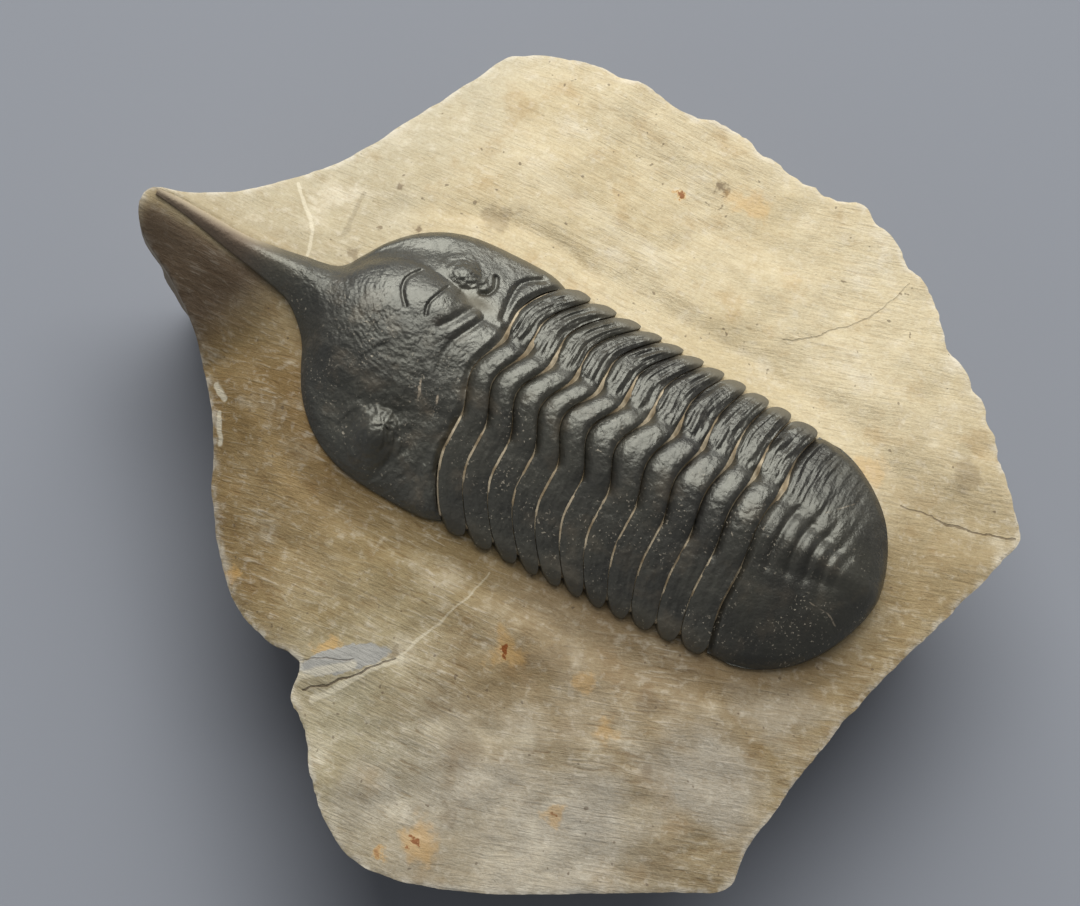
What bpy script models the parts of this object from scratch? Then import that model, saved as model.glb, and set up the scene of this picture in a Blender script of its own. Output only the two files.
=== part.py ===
"""A trilobite fossil in its stone: a rough slab drawn out to a prow, and on it the head shield with its
long snout, the eleven body segments and the tail shield, each a closed body of its own."""
import math

import bpy
import numpy as np
from mathutils import noise
from mathutils.geometry import delaunay_2d_cdt

# Units: all sizes below are millimetres; the meshes are written in metres.
MM = 0.001

# The stone
FACE_HEIGHT = 21.6        # level face that the fossil lies on, above the sawn base
CREST_SLOPE = 0.11        # rise of the prow's crest, toward the snout's tip
CREST_START = -24.0       # where the face begins to rise into the crest
CREST_BLEND = 1.5
NEAR_FALL = (0.95, 0.17)  # slope of the near flank, at the prow and beside the body
FAR_FALL = (0.45, 0.15)
FALL_CHANGE = (-31.0, -9.0)
FALL_START = 1.0          # rounding where the face turns down
MOAT_DEPTH = 0.45         # shallow trough worked around the fossil
MOAT_AT = 2.4
MOAT_WIDTH = 1.7
LUMP = 0.55
LUMP_SIZE = 9.0
GRID_STONE = 2.7
RIM_STEP = 2.3
CHIP = 0.35
RIM_OUT = 0.15            # the rim's corners stand this far out, so that its chords follow the curve
SCAR = ((-18.6, 18.0), (-13.9, 20.2), (-8.2, 20.9), (-3.4, 19.6))  # gouge in the face, on the far side
SCAR_DEPTH = 0.28
SCAR_WIDTH = 0.7
BASE_INSET = 8.5          # the sawn base lies this far inside the rim
WALL_LEVELS = ((0.35, 0.90), (2.6, 0.58), (6.3, 0.24), (BASE_INSET, 0.0))
WALL_ROUGH = 0.9

# The fossil
AXIS_Y = 3.7              # the animal's mid line
JOINT_GAP = 0.3           # between one plate and the next, and under them all
RIM = 1.0                 # thickness of the plates near their margin
RIM_DROP = 0.65           # the margin is rounded down by this much
RIM_ROUND = 1.2           # over this width
CREST = 4.95              # crest of the body above its tips
LOBE_HALF = 4.5           # half the width of the middle lobe
LOBE_EDGE = 5.4           # where its swell has run out
LOBE_RISE = 0.6
LOBE_GROOVE = 0.22
FULCRUM = 8.8             # where the ribs turn back and down
TIP_ROUND = 1.5
TIP_CUT = 0.46            # share of a rib's length rounded off its tip, before and behind
SEGMENTS = 11
# Where each joint crosses the inner ribs, how far it runs forward on the crest, and back at the tips
JOINT_X = (-8.2, -5.7, -3.1, -0.5, 2.0, 4.65, 7.4, 10.3, 13.2, 16.1, 18.8, 21.7)
JOINT_BOW = (1.15, 1.4, 1.5, 1.5, 1.7, 1.6, 1.4, 1.0, 0.85, 0.6, 0.5, 0.4)
JOINT_SWEEP = (3.1, 3.5, 3.8, 3.9, 3.7, 3.5, 3.0, 2.4, 1.9, 1.6, 1.4, 1.7)
BODY_HALF_X = (-9.0, 4.0, 12.0, 18.0, 24.0)
BODY_HALF = (13.6, 13.3, 13.1, 12.8, 12.3)

# Each body segment is a cushion, highest behind its middle; the near flank is pressed nearly flat
CROWN_AT = 0.60
CROWN_RISE = 0.22
CUSHION_POWER = (3.0, 2.8)  # how late it falls to its front and rear edge
RING_FALL = (0.75, 0.40)  # fall of the middle lobe's cushion to its front and rear edge
RIB_FALL = (0.50, 0.34)
NEAR_FLAT = 0.75
NEAR_BODY = (1.0, 4.5)    # the near flank begins over this span off the mid line
PIT_DEPTH = 0.35          # hollow where a ring meets its rib
PIT_WIDTH = 0.8
PIT_BACK = (0.05, 0.38)
SEGMENT_STEPS = (0.0, 0.2, 0.6, 0.84, 1.0)
RIB_STEPS = (0.0, 1.4, 2.8, 3.8, 4.5, 5.3, 7.0, 8.8, 10.3)
TIP_STEPS = (1.5, 0.8, 0.3, 0.0)

# Head: place along the body and half width, from the snout's tip to the rear corner
HEAD_X = (-43.8, -42.2, -38.0, -33.3, -28.6, -26.4, -24.9, -23.8, -22.4, -20.3, -17.9, -15.0, -11.0, -7.2,
          -5.2)
HEAD_HALF = (0.3, 0.45, 0.8, 1.25, 2.15, 3.1, 4.4, 6.4, 8.7, 10.9, 12.4, 13.3, 13.6, 13.6, 13.0)
SNOUT_BEND = (1.15, 0.6)  # the snout drifts this far off the mid line, at its root and at its tip
SNOUT_BEND_AT = ((23.0, 29.0), (33.0, 42.0))
SNOUT_RIM = 0.22          # share of the margin's thickness that is left at the snout's tip
THINNEST = 0.12
CREST_X = (-44.3, -41.0, -36.0, -31.0, -27.5, -25.3, -23.3, -21.0, -18.0, -14.0, -10.0, -8.0, -4.0)
CREST_Z = (0.05, 0.35, 0.85, 1.6, 2.4, 3.1, 4.1, 5.0, 5.35, 5.3, 5.05, 4.95, 4.95)
GLABELLA_X = (-24.5, -23.0, -20.5, -18.5, -15.5, -12.5, -10.0)
GLABELLA_HALF = (3.0, 5.8, 7.1, 7.2, 6.6, 5.7, 5.0)
GLABELLA_RISE = 0.9
SIDE_LOBE = (-15.8, 4.3)
SIDE_LOBE_SIZE = (3.4, 2.8)
SIDE_LOBE_RISE = 0.35
EYE_FAR = ((-14.5, 8.4), (2.5, 2.2))   # centre and half sizes
EYE_NEAR = ((-14.6, 9.3), (2.9, 3.3))
EYE_RISE = (0.45, 1.95)   # on the far side, which is pressed down, and on the near side
EYE_BROW = 0.18           # fold round the front of the eye
EYE_BROW_WIDTH = 0.14
NEAR_FAINT = 0.65         # the near side's furrows are worn down by this share
NEAR_HEAD = (-0.5, 2.5)
GRID_HEAD = 0.72

# Tail shield: place along the body and half width
TAIL_X = (23.4, 25.2, 27.0, 28.7, 30.4, 31.9, 33.2, 34.2, 34.8, 35.0)
TAIL_HALF = (12.2, 12.0, 11.5, 10.6, 9.4, 7.8, 5.8, 3.6, 1.6, 0.0)
TAIL_RINGS = (24.0, 25.9, 27.6, 29.2, 30.6)
TAIL_LOBE = (4.4, 1.5)
TAIL_LOBE_SPAN = (17.0, 33.1)
TAIL_FURROW = 0.34        # depth of the furrows between rings, on the middle lobe
TAIL_RIB = 0.12           # and beside it
TAIL_FURROW_WIDTH = 0.42
TAIL_THINNEST = 0.3
NEAR_TAIL = (1.0, 4.0)
GRID_TAIL = 0.85

# Rim of the slab, read round from the prow's tip over the far side; the curve between is worked out
RIM_POINTS = (
    (-44.7, 3.4), (-44.9, 4.5), (-44.5, 5.6), (-41.5, 6.9), (-37.4, 10.0), (-33.2, 14.9), (-29.4, 20.4),
    (-26.2, 27.0), (-23.0, 33.6), (-21.1, 37.4), (-16.8, 39.2), (-8.6, 40.3), (-3.7, 39.7), (1.1, 40.8),
    (6.1, 39.7),
    (12.2, 39.3), (16.5, 40.1), (19.3, 39.0), (24.2, 36.4), (27.3, 34.4), (29.8, 31.4), (34.9, 28.2),
    (39.2, 24.1), (42.8, 19.7), (44.9, 17.0), (43.5, 11.4), (41.1, 4.0), (39.0, -2.4), (36.8, -11.5),
    (35.1, -22.4), (35.0, -26.7), (29.9, -29.8), (24.7, -32.7), (14.6, -38.0), (7.5, -40.5), (1.9, -40.6),
    (-3.3, -37.4), (-6.6, -33.3), (-9.8, -30.2), (-10.6, -27.1), (-14.5, -26.4), (-18.6, -24.4),
    (-22.3, -20.7), (-25.8, -15.9), (-29.6, -9.0), (-34.5, -3.4), (-39.3, -0.2), (-43.3, 1.8),
)


def ramp(x, low, high):
    """0 below low, 1 above high and a smooth rise between them."""
    t = np.clip((x - low) / (high - low), 0.0, 1.0)
    return t * t * (3.0 - 2.0 * t)


def curve_through(points, step, closed):
    """Points about a step apart on a smooth curve through the given ones."""
    count = len(points)
    spans = count if closed else count - 1
    out = []
    for i in range(spans):
        before = points[i - 1] if closed or i > 0 else points[0]
        start = points[i]
        end = points[(i + 1) % count]
        after = points[(i + 2) % count] if closed or i + 2 < count else points[-1]
        pieces = max(1, round(math.dist(start, end) / step))
        for j in range(pieces):
            t = j / pieces
            w = (-0.5 * t + t * t - 0.5 * t ** 3, 1 - 2.5 * t * t + 1.5 * t ** 3,
                 0.5 * t + 2 * t * t - 1.5 * t ** 3, -0.5 * t * t + 0.5 * t ** 3)
            out.append(tuple(w[0] * a + w[1] * b + w[2] * c + w[3] * d
                             for a, b, c, d in zip(before, start, end, after)))
    if not closed:
        out.append(tuple(points[-1]))
    return out


def distance(x, y, line, closed=False):
    """Distance of each place from a line of points."""
    best = np.full(np.shape(x), 1.0e9)
    ends = list(zip(line, line[1:]))
    if closed:
        ends.append((line[-1], line[0]))
    for (ax, ay), (bx, by) in ends:
        length = (bx - ax) ** 2 + (by - ay) ** 2
        t = np.clip(((x - ax) * (bx - ax) + (y - ay) * (by - ay)) / length, 0.0, 1.0)
        best = np.minimum(best, np.hypot(x - ax - t * (bx - ax), y - ay - t * (by - ay)))
    return best


def inside(x, y, line):
    """True for the places inside a closed line of points."""
    found = np.zeros(np.shape(x), dtype=bool)
    for (ax, ay), (bx, by) in zip(line, line[1:] + line[:1]):
        if ay != by:
            crosses = ((ay > y) != (by > y)) & (x < ax + (y - ay) * (bx - ax) / (by - ay))
            found ^= crosses
    return found


def lump(x, y, size, seed):
    """Rolling relief between about -1 and 1, the same on every run."""
    flat = zip(np.ravel(x) / size, np.ravel(y) / size)
    values = [noise.fractal((a, b, seed), 1.0, 2.0, 3) for a, b in flat]
    return np.reshape(values, np.shape(x))


def grid_inside(line, step, margin):
    """Places on a triangular grid that lie inside a line, at least a margin from it."""
    xs = [p[0] for p in line]
    ys = [p[1] for p in line]
    rows = []
    for row, y in enumerate(np.arange(min(ys), max(ys), step * 0.866)):
        start = min(xs) + (row % 2) * step / 2
        rows += [(x, y) for x in np.arange(start, max(xs), step)]
    spots = np.array(rows)
    keep = inside(spots[:, 0], spots[:, 1], line)
    keep &= distance(spots[:, 0], spots[:, 1], line, closed=True) > margin
    return [tuple(p) for p in spots[keep]]


def body_half(x):
    """Half width of the segmented body at a place along it."""
    return np.interp(x, BODY_HALF_X, BODY_HALF)


def joint(k, w):
    """Place along the body of joint k, at a distance w from the mid line."""
    bow = JOINT_BOW[k] * np.cos(np.clip(w / LOBE_HALF, 0.0, 1.0) * math.pi / 2) ** 2
    back = np.clip((w - FULCRUM + 1.5) / (13.2 - FULCRUM + 1.5), 0.0, 1.0)
    return JOINT_X[k] - bow + JOINT_SWEEP[k] * back ** 1.7


def face_level(x):
    """Height of the face that carries the fossil: level, then rising along the prow."""
    return FACE_HEIGHT + CREST_SLOPE * CREST_BLEND * np.log1p(np.exp((CREST_START - x) / CREST_BLEND))


def mid_line(x):
    """Across place of the animal's mid line, which bends a little along the snout."""
    root, tip = (bend * ramp(-x, *span) for bend, span in zip(SNOUT_BEND, SNOUT_BEND_AT))
    return AXIS_Y + root + tip


def head_half(x):
    return np.interp(x, HEAD_X, HEAD_HALF)


def head_side():
    """Half of the head's outline, from the snout's tip to the rear corner, as (x, w)."""
    return curve_through(list(zip(HEAD_X, HEAD_HALF)), 1.3, False)


def footprint():
    """Outline of the whole fossil on its stone, as (x, y)."""
    half = head_side()
    half += [(x, body_half(x)) for x in np.arange(-3.0, 23.0, 2.5)]
    half += list(zip(TAIL_X, TAIL_HALF))
    near = [(x, mid_line(x) - w) for x, w in half]
    far = [(x, mid_line(x) + w) for x, w in reversed(half[:-1])]
    return near + far


def stone_top(x, y, line):
    """Height of the stone's worked upper side."""
    away = np.where(inside(x, y, line), 0.0, distance(x, y, line, closed=True))
    away = np.maximum(away - 0.5, 0.0)
    near = NEAR_FALL[0] + (NEAR_FALL[1] - NEAR_FALL[0]) * ramp(x, *FALL_CHANGE)
    far = FAR_FALL[0] + (FAR_FALL[1] - FAR_FALL[0]) * ramp(x, *FALL_CHANGE)
    slope = near + (far - near) * ramp(y - AXIS_Y, -2.0, 2.0)
    fall = slope * (np.hypot(away, FALL_START) - FALL_START)
    moat = MOAT_DEPTH * np.exp(-((away - MOAT_AT) / MOAT_WIDTH) ** 2) * ramp(x, -30.0, -20.0)
    relief = LUMP * (lump(x, y, LUMP_SIZE, 3.1) - 0.35) * ramp(away, 0.0, 6.0)
    scar = SCAR_DEPTH * np.exp(-(distance(x, y, SCAR) / SCAR_WIDTH) ** 2)
    return face_level(x) - fall - moat + relief - scar


def arch(w, half):
    """Cross-section of the body's vault: 1 on the mid line, 0 at the tips."""
    return np.cos(np.clip(w / half, 0.0, 1.0) * math.pi / 2)


def rounded_edge(room):
    """How far a plate's upper side falls where little room is left to its margin."""
    return RIM_DROP * (1.0 - np.clip(room / RIM_ROUND, 0.0, 1.0)) ** 2


def lobe_relief(w, near):
    """The middle lobe's swell and the groove on each side of it, which is lost on the near flank."""
    swell = LOBE_RISE * np.clip(1.0 - (w / LOBE_EDGE) ** 2, 0.0, 1.0) ** 2
    return swell - LOBE_GROOVE * (1.0 - near) * np.exp(-((w - LOBE_HALF) / 0.7) ** 2)


def segment_relief(s, w, near):
    """One segment's cushion: s runs from its front edge (0) to its rear edge (1)."""
    rib = ramp(w, LOBE_HALF - 0.7, LOBE_HALF + 0.7)
    front = RING_FALL[0] + (RIB_FALL[0] - RING_FALL[0]) * rib
    rear = RING_FALL[1] + (RIB_FALL[1] - RING_FALL[1]) * rib
    ahead = np.clip(1.0 - s / CROWN_AT, 0.0, 1.0)
    behind = np.clip((s - CROWN_AT) / (1.0 - CROWN_AT), 0.0, 1.0)
    fall = front * ahead ** CUSHION_POWER[0] + rear * behind ** CUSHION_POWER[1]
    cushion = CROWN_RISE * (1.0 - 0.5 * rib) - fall
    pit = np.exp(-((w - LOBE_HALF) / PIT_WIDTH) ** 2) * (1.0 - ramp(s, *PIT_BACK)) * (1.0 - near)
    return cushion * (1.0 - NEAR_FLAT * near * rib) - PIT_DEPTH * pit


def segment_place(k, s, w):
    """Place along the body of a spot on segment k, with the rib's end rounded off."""
    half = body_half(joint(k, FULCRUM) + 1.3)
    end = np.clip((w - (half - TIP_ROUND)) / TIP_ROUND, 0.0, 1.0)
    cut = 1.0 - np.sqrt(1.0 - 0.985 * end ** 2)
    front = joint(k, w) + JOINT_GAP / 2
    rear = joint(k + 1, w) - JOINT_GAP / 2
    length = rear - front
    front = front + TIP_CUT * cut * length
    rear = rear - TIP_CUT * cut * length
    return front + s * (rear - front)


def segment_height(k, s, w, near):
    """Height of segment k's outer side above the fossil's face."""
    half = body_half(joint(k, FULCRUM) + 1.3)
    crest = CREST - 0.35 * ramp(k + 0.0 * w, 6.0, 10.0)
    edge = ramp(half - w, -0.4, 1.8)
    vault = RIM - rounded_edge(half - w) + crest * arch(w, half)
    return vault + lobe_relief(w, near) + segment_relief(s, w, near) * edge


# Furrows of the head, on one side of the mid line, as (x, w) points, with their depth and half width;
# a depth below zero is a ridge
HEAD_FURROWS = (
    (((-18.1, 6.6), (-18.9, 5.0), (-18.7, 3.5), (-17.7, 2.2)), 0.26, 0.20),
    (((-15.1, 6.2), (-15.5, 4.9), (-15.9, 3.4), (-15.6, 2.3)), 0.24, 0.17),
    (((-12.2, 5.3), (-13.0, 3.6), (-13.9, 2.1)), 0.28, 0.42),
    (((-11.4, 4.9), (-12.2, 3.4), (-13.1, 1.8)), -0.15, 0.32),
    (((-10.7, 5.0), (-11.4, 3.2), (-12.2, 1.4), (-12.4, 0.0)), 0.32, 0.36),
    (((-9.1, 6.2), (-9.4, 8.6), (-9.2, 10.8), (-7.6, 12.4)), 0.36, 0.36),
    (((-18.0, 7.3), (-16.5, 7.0), (-13.5, 6.4), (-11.0, 5.8)), 0.22, 0.75),
    (((-24.0, 6.0), (-22.0, 7.4), (-19.5, 8.6), (-17.5, 9.6)), 0.55, 1.25),
    (((-11.5, 9.9), (-11.1, 8.9), (-11.3, 7.9), (-12.4, 7.1)), 0.75, 0.40),
)


def oval(x, w, centre, size):
    """Distance from an oval's centre, 1 on its edge."""
    return np.hypot((x - centre[0]) / size[0], (w - centre[1]) / size[1])


def either(near, far_value, near_value):
    return far_value + (near_value - far_value) * near


def eye_relief(x, w, near):
    """The eye: a knob with a folded brow before it."""
    away = either(near, oval(x, w, *EYE_FAR), oval(x, w, *EYE_NEAR))
    rise = either(near, *EYE_RISE)
    knob = rise * 0.5 * (1.0 + np.cos(math.pi * np.clip(away, 0.0, 1.0)))
    ahead = ramp(EYE_FAR[0][0] - x, -0.5, 1.5) * ramp(w - EYE_FAR[0][1], -1.6, 0.0)
    brow = EYE_BROW * ahead * np.exp(-((away - 1.0) / EYE_BROW_WIDTH) ** 2)
    return knob + brow


def head_height(x, w, near):
    """Height of the head shield's outer side above the fossil's face."""
    half = head_half(x)
    wide = ramp(x, -28.0, -24.5)
    rim = RIM * (SNOUT_RIM + (1.0 - SNOUT_RIM) * ramp(x, -40.0, -25.0)) - rounded_edge(half - w) * wide
    height = rim + np.interp(x, CREST_X, CREST_Z) * arch(w, half)
    lobe = np.interp(x, GLABELLA_X, GLABELLA_HALF)
    height = height + GLABELLA_RISE * np.clip(1.0 - (w / lobe) ** 3, 0.0, 1.0) * ramp(x, -26.0, -21.5)
    clear = 1.0 - NEAR_FAINT * near
    swell = np.clip(1.0 - oval(x, w, SIDE_LOBE, SIDE_LOBE_SIZE) ** 2, 0.0, 1.0) ** 2
    height = height + SIDE_LOBE_RISE * clear * swell + eye_relief(x, w, near)
    shallow = ramp(half - w, 0.0, 1.5)
    for line, depth, width in HEAD_FURROWS:
        height = height - depth * np.exp(-(distance(x, w, line) / width) ** 2) * shallow * clear
    rear_edge = ramp(joint(0, w) - x, 0.0, 0.9)
    return np.maximum(height - 0.45 * (1.0 - rear_edge) * shallow, THINNEST)


def tail_lobe_half(x):
    return TAIL_LOBE[0] + (TAIL_LOBE[1] - TAIL_LOBE[0]) * ramp(x, *TAIL_LOBE_SPAN)


def tail_height(x, w, near):
    """Height of the tail shield's outer side above the fossil's face."""
    half = np.maximum(np.interp(x, TAIL_X, TAIL_HALF), 0.2)
    back = np.clip((x - TAIL_X[0]) / (TAIL_X[-1] - TAIL_X[0]), 0.0, 1.0)
    across = np.cos(np.clip(w / np.maximum(half, 12.0 * np.sqrt(1.0 - back ** 2.4)), 0.0, 1.0) * math.pi / 2)
    along = np.sqrt(np.clip(1.0 - back ** 2.1, 0.0, 1.0))
    height = RIM * 0.8 + (CREST - 0.35) * across * along
    lobe = tail_lobe_half(x)
    fade = 1.0 - ramp(x, 27.0, 32.5)
    height = height + (0.25 + 0.45 * fade) * np.exp(-(w / (0.75 * lobe)) ** 2)
    height = height - 0.20 * fade * (1.0 - near) * np.exp(-((w - lobe) / 0.7) ** 2)
    beside = ramp(w, lobe - 0.4, lobe + 0.8)
    depth = (TAIL_FURROW + (TAIL_RIB - TAIL_FURROW) * beside) * (1.0 - 0.7 * near)
    for ring in TAIL_RINGS:
        slant = ring + 0.22 * np.maximum(w - lobe, 0.0) - 0.45 * (1.0 - np.minimum(w / lobe, 1.0) ** 2)
        ends = 1.0 - ramp(w, 6.5, 10.0)
        height = height - depth * fade * ends * np.exp(-((x - slant) / TAIL_FURROW_WIDTH) ** 2)
    front_edge = ramp(x - joint(SEGMENTS, w), 0.0, 0.8)
    height = height - rounded_edge(half - w) * (1.0 - ramp(x, 30.0, 33.0)) - 0.45 * (1.0 - front_edge)
    return np.maximum(height, TAIL_THINNEST)


def make_object(name, vertices, faces, material):
    mesh = bpy.data.meshes.new(name)
    mesh.from_pydata([tuple(float(c) * MM for c in v) for v in vertices], [], faces)
    mesh.validate()
    mesh.materials.append(material)
    result = bpy.data.objects.new(name, mesh)
    bpy.context.scene.collection.objects.link(result)
    return result


def triangles(line, spots=()):
    """Triangles that fill a closed line and pass through the spots inside it."""
    places = list(line) + list(spots)
    border = [list(range(len(line)))]
    found = delaunay_2d_cdt([(float(x), float(y)) for x, y in places], [], border, 1, 1.0e-5)
    origin = [ids[0] for ids in found[3]]
    faces = []
    for face in found[2]:
        loop = [origin[i] for i in face]
        (ax, ay), (bx, by), (cx, cy) = (places[i] for i in loop)
        if (bx - ax) * (cy - ay) - (by - ay) * (cx - ax) < 0:
            loop.reverse()
        faces.append(tuple(loop))
    return faces


def plate(name, line, spots, height, near_span, material):
    """A closed plate on the fossil's face: relief above, the face's own level below."""
    x = np.array([p[0] for p in line + spots])
    y = np.array([p[1] for p in line + spots])
    floor = face_level(x) + JOINT_GAP
    top = floor + height(x, np.abs(y - mid_line(x)), ramp(AXIS_Y - y, *near_span))
    count = len(line)
    vertices = list(zip(x, y, top)) + list(zip(x[:count], y[:count], floor[:count]))
    faces = triangles(line, spots)
    below = len(x)
    faces += [tuple(below + i for i in reversed(face)) for face in triangles(line)]
    for i in range(count):
        j = (i + 1) % count
        faces.append((i, below + i, below + j, j))
    return make_object(name, vertices, faces, material)


def make_stone(material):
    line = footprint()
    rim = curve_through(list(RIM_POINTS), RIM_STEP, True)
    rim.reverse()
    for i, (x, y) in enumerate(rim):
        out = RIM_OUT + CHIP * noise.noise((x * 0.6, y * 0.6, 7.0))
        rim[i] = (x * (1 + out / math.hypot(x, y)), y * (1 + out / math.hypot(x, y)))
    spots = grid_inside(rim, GRID_STONE, GRID_STONE * 0.55)
    sx = np.array([p[0] for p in spots])
    sy = np.array([p[1] for p in spots])
    deep = inside(sx, sy, line) & (distance(sx, sy, line, closed=True) > 3.0)
    spots = [p for p, hidden in zip(spots, deep) if not hidden]
    crest = [(x, float(mid_line(x)) + side * (float(head_half(x)) + 0.5))
             for x in np.arange(-43.0, -27.0, 3.0) for side in (-1, 1)]
    marked = crest + curve_through(list(SCAR), 1.7, False)
    spots = [p for p in spots if min(math.dist(p, c) for c in marked) > 1.3] + marked
    x = np.array([p[0] for p in rim + spots])
    y = np.array([p[1] for p in rim + spots])
    z = stone_top(x, y, line)
    vertices = list(zip(x, y, z))
    faces = triangles(rim, spots)
    count = len(rim)
    above = list(range(count))
    for inset, share in WALL_LEVELS:
        start = len(vertices)
        for i, (px, py) in enumerate(rim):
            radius = math.hypot(px, py)
            rough = WALL_ROUGH * noise.noise((px * 0.23, py * 0.23, share * 5.0)) * min(1.0, inset / 2.0)
            scale = 1.0 - (inset + rough * (share > 0)) / radius
            vertices.append((px * scale, py * scale, z[i] * share))
        below = list(range(start, start + count))
        for i in range(count):
            j = (i + 1) % count
            faces.append((above[i], below[i], below[j], above[j]))
        above = below
    faces.append(tuple(reversed(above)))
    return make_object("matrix", vertices, faces, material)


def make_head(material):
    side = head_side()
    near = [(x, float(mid_line(x)) - w) for x, w in side]
    far = [(x, float(mid_line(x)) + w) for x, w in reversed(side)]
    back = [12.4, 11.0, 9.4, 7.6, 5.8, 4.5, 3.2, 1.7]
    rear = [(float(joint(0, w)) - JOINT_GAP / 2, AXIS_Y - w) for w in back]
    rear.append((float(joint(0, 0.0)) - JOINT_GAP / 2, AXIS_Y))
    rear += [(float(joint(0, w)) - JOINT_GAP / 2, AXIS_Y + w) for w in reversed(back)]
    line = near + rear + far
    marked = []
    for points, depth, width in HEAD_FURROWS:
        for x, w in curve_through(list(points), 0.95, False):
            marked += [(x, AXIS_Y - w), (x, AXIS_Y + w)] if w > 0.1 else [(x, AXIS_Y)]
    for side, (centre, size) in ((-1, EYE_NEAR), (1, EYE_FAR)):
        for ring in (0.0, 0.5, 1.0):
            for turn in np.arange(0.0, 2 * math.pi - 0.01, math.pi / 5):
                x = centre[0] + ring * size[0] * math.cos(turn)
                w = centre[1] + ring * size[1] * math.sin(turn)
                marked.append((x, AXIS_Y + side * w))
    marked += [(x, float(mid_line(x))) for x in np.arange(-43.4, -9.5, 1.9)]
    kept = []
    for spot in marked:
        x = np.array([spot[0]])
        y = np.array([spot[1]])
        clear = inside(x, y, line)[0] and distance(x, y, line, closed=True)[0] > 0.25
        if clear and all(math.dist(spot, other) > 0.55 for other in kept):
            kept.append(spot)
    grid = grid_inside(line, GRID_HEAD, 0.4)
    kept += [p for p in grid if min(math.dist(p, c) for c in kept) > 0.5]
    return plate("cephalon", line, kept, head_height, NEAR_HEAD, material)


def make_segment(k, material):
    """One body segment: a strip across the body with its ridges, a flat underside and rounded ends."""
    half = float(body_half(joint(k, FULCRUM) + 1.3))
    side = list(RIB_STEPS) + [half - w for w in TIP_STEPS]
    across = [-w for w in reversed(side[1:])] + side
    s = np.array(SEGMENT_STEPS)
    rows = len(SEGMENT_STEPS)
    floor = FACE_HEIGHT + JOINT_GAP
    vertices = []
    for y in across:
        w = np.full(rows, abs(y))
        x = segment_place(k, s, w)
        z = floor + segment_height(k, s, w, ramp(np.full(rows, -y), *NEAR_BODY))
        vertices += [(a, AXIS_Y + y, b) for a, b in zip(x, z)]
        vertices += [(x[0], AXIS_Y + y, floor), (x[-1], AXIS_Y + y, floor)]
    ring = rows + 2
    order = list(range(rows)) + [rows + 1, rows]
    faces = []
    for i in range(len(across) - 1):
        here = i * ring
        beyond = here + ring
        for a, b in zip(order, order[1:] + order[:1]):
            faces.append((here + a, here + b, beyond + b, beyond + a))
    last = (len(across) - 1) * ring
    faces.append(tuple(reversed(order)))
    faces.append(tuple(last + i for i in order))
    return make_object(f"thoracic_segment_{k + 1:02d}", vertices, faces, material)


def make_tail(material):
    side = curve_through(list(zip(TAIL_X, TAIL_HALF)), 1.6, False)
    near = [(x, AXIS_Y - w) for x, w in side[:-1]]
    far = [(x, AXIS_Y + w) for x, w in reversed(side)]
    front = [11.6, 10.2, 8.6, 7.0, 5.3, 3.8, 2.0]
    line = near + far
    line += [(float(joint(SEGMENTS, w)) + JOINT_GAP / 2, AXIS_Y + w) for w in front]
    line.append((float(joint(SEGMENTS, 0.0)) + JOINT_GAP / 2, AXIS_Y))
    line += [(float(joint(SEGMENTS, w)) + JOINT_GAP / 2, AXIS_Y - w) for w in reversed(front)]
    spots = grid_inside(line, GRID_TAIL, 0.5)
    return plate("pygidium", line, spots, tail_height, NEAR_TAIL, material)


def make_material(name, colour, roughness):
    material = bpy.data.materials.new(name)
    material.use_nodes = True
    shader = material.node_tree.nodes["Principled BSDF"]
    shader.inputs["Base Color"].default_value = (*colour, 1.0)
    shader.inputs["Roughness"].default_value = roughness
    shader.inputs["Metallic"].default_value = 0.0
    return material


def clear_scene():
    for old in list(bpy.data.objects):
        bpy.data.objects.remove(old, do_unlink=True)


def build():
    clear_scene()
    stone = make_material("matrix_stone", (0.42, 0.33, 0.21), 0.85)
    head = make_material("cephalon_shell", (0.030, 0.028, 0.025), 0.45)
    body = make_material("thorax_shell", (0.030, 0.028, 0.025), 0.45)
    tail = make_material("pygidium_shell", (0.032, 0.030, 0.027), 0.45)
    make_stone(stone)
    make_head(head)
    for k in range(SEGMENTS):
        make_segment(k, body)
    make_tail(tail)


build()
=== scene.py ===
# %% [markdown]
# # A long-snouted trilobite in its stone
# The fossil lies on a slab of buff limestone that is drawn out into a prow under the snout. The imported solids
# are the frame: every stone and shell piece below replaces one of them at the same place, with far more relief.

# %% Load the frame
import math

import bpy
import numpy as np
from mathutils import Matrix, Vector, noise


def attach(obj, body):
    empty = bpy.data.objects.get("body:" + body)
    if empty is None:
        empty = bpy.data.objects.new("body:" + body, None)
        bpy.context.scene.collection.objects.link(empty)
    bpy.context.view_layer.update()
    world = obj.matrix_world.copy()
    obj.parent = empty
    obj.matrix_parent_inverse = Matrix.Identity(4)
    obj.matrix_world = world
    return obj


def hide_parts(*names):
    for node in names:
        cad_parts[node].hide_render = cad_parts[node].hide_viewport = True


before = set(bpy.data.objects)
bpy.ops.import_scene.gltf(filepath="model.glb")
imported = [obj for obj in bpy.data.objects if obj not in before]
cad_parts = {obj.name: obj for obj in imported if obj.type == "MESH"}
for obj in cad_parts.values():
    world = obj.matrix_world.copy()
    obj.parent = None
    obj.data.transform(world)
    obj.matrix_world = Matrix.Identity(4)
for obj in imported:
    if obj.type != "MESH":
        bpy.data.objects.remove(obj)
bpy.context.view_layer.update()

MM = 0.001
DETAIL = 1.0
print("frame nodes:", len(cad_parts))

# %% [markdown]
# ## Camera, floor and light
# The photo looks down on the slab at a steep angle and is turned in its frame, so that the head points to the
# upper left. The slab lies flat here, so the camera takes both the steep angle and the turn. A long lens from
# 42 cm away gives the photo's mild perspective.

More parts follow.
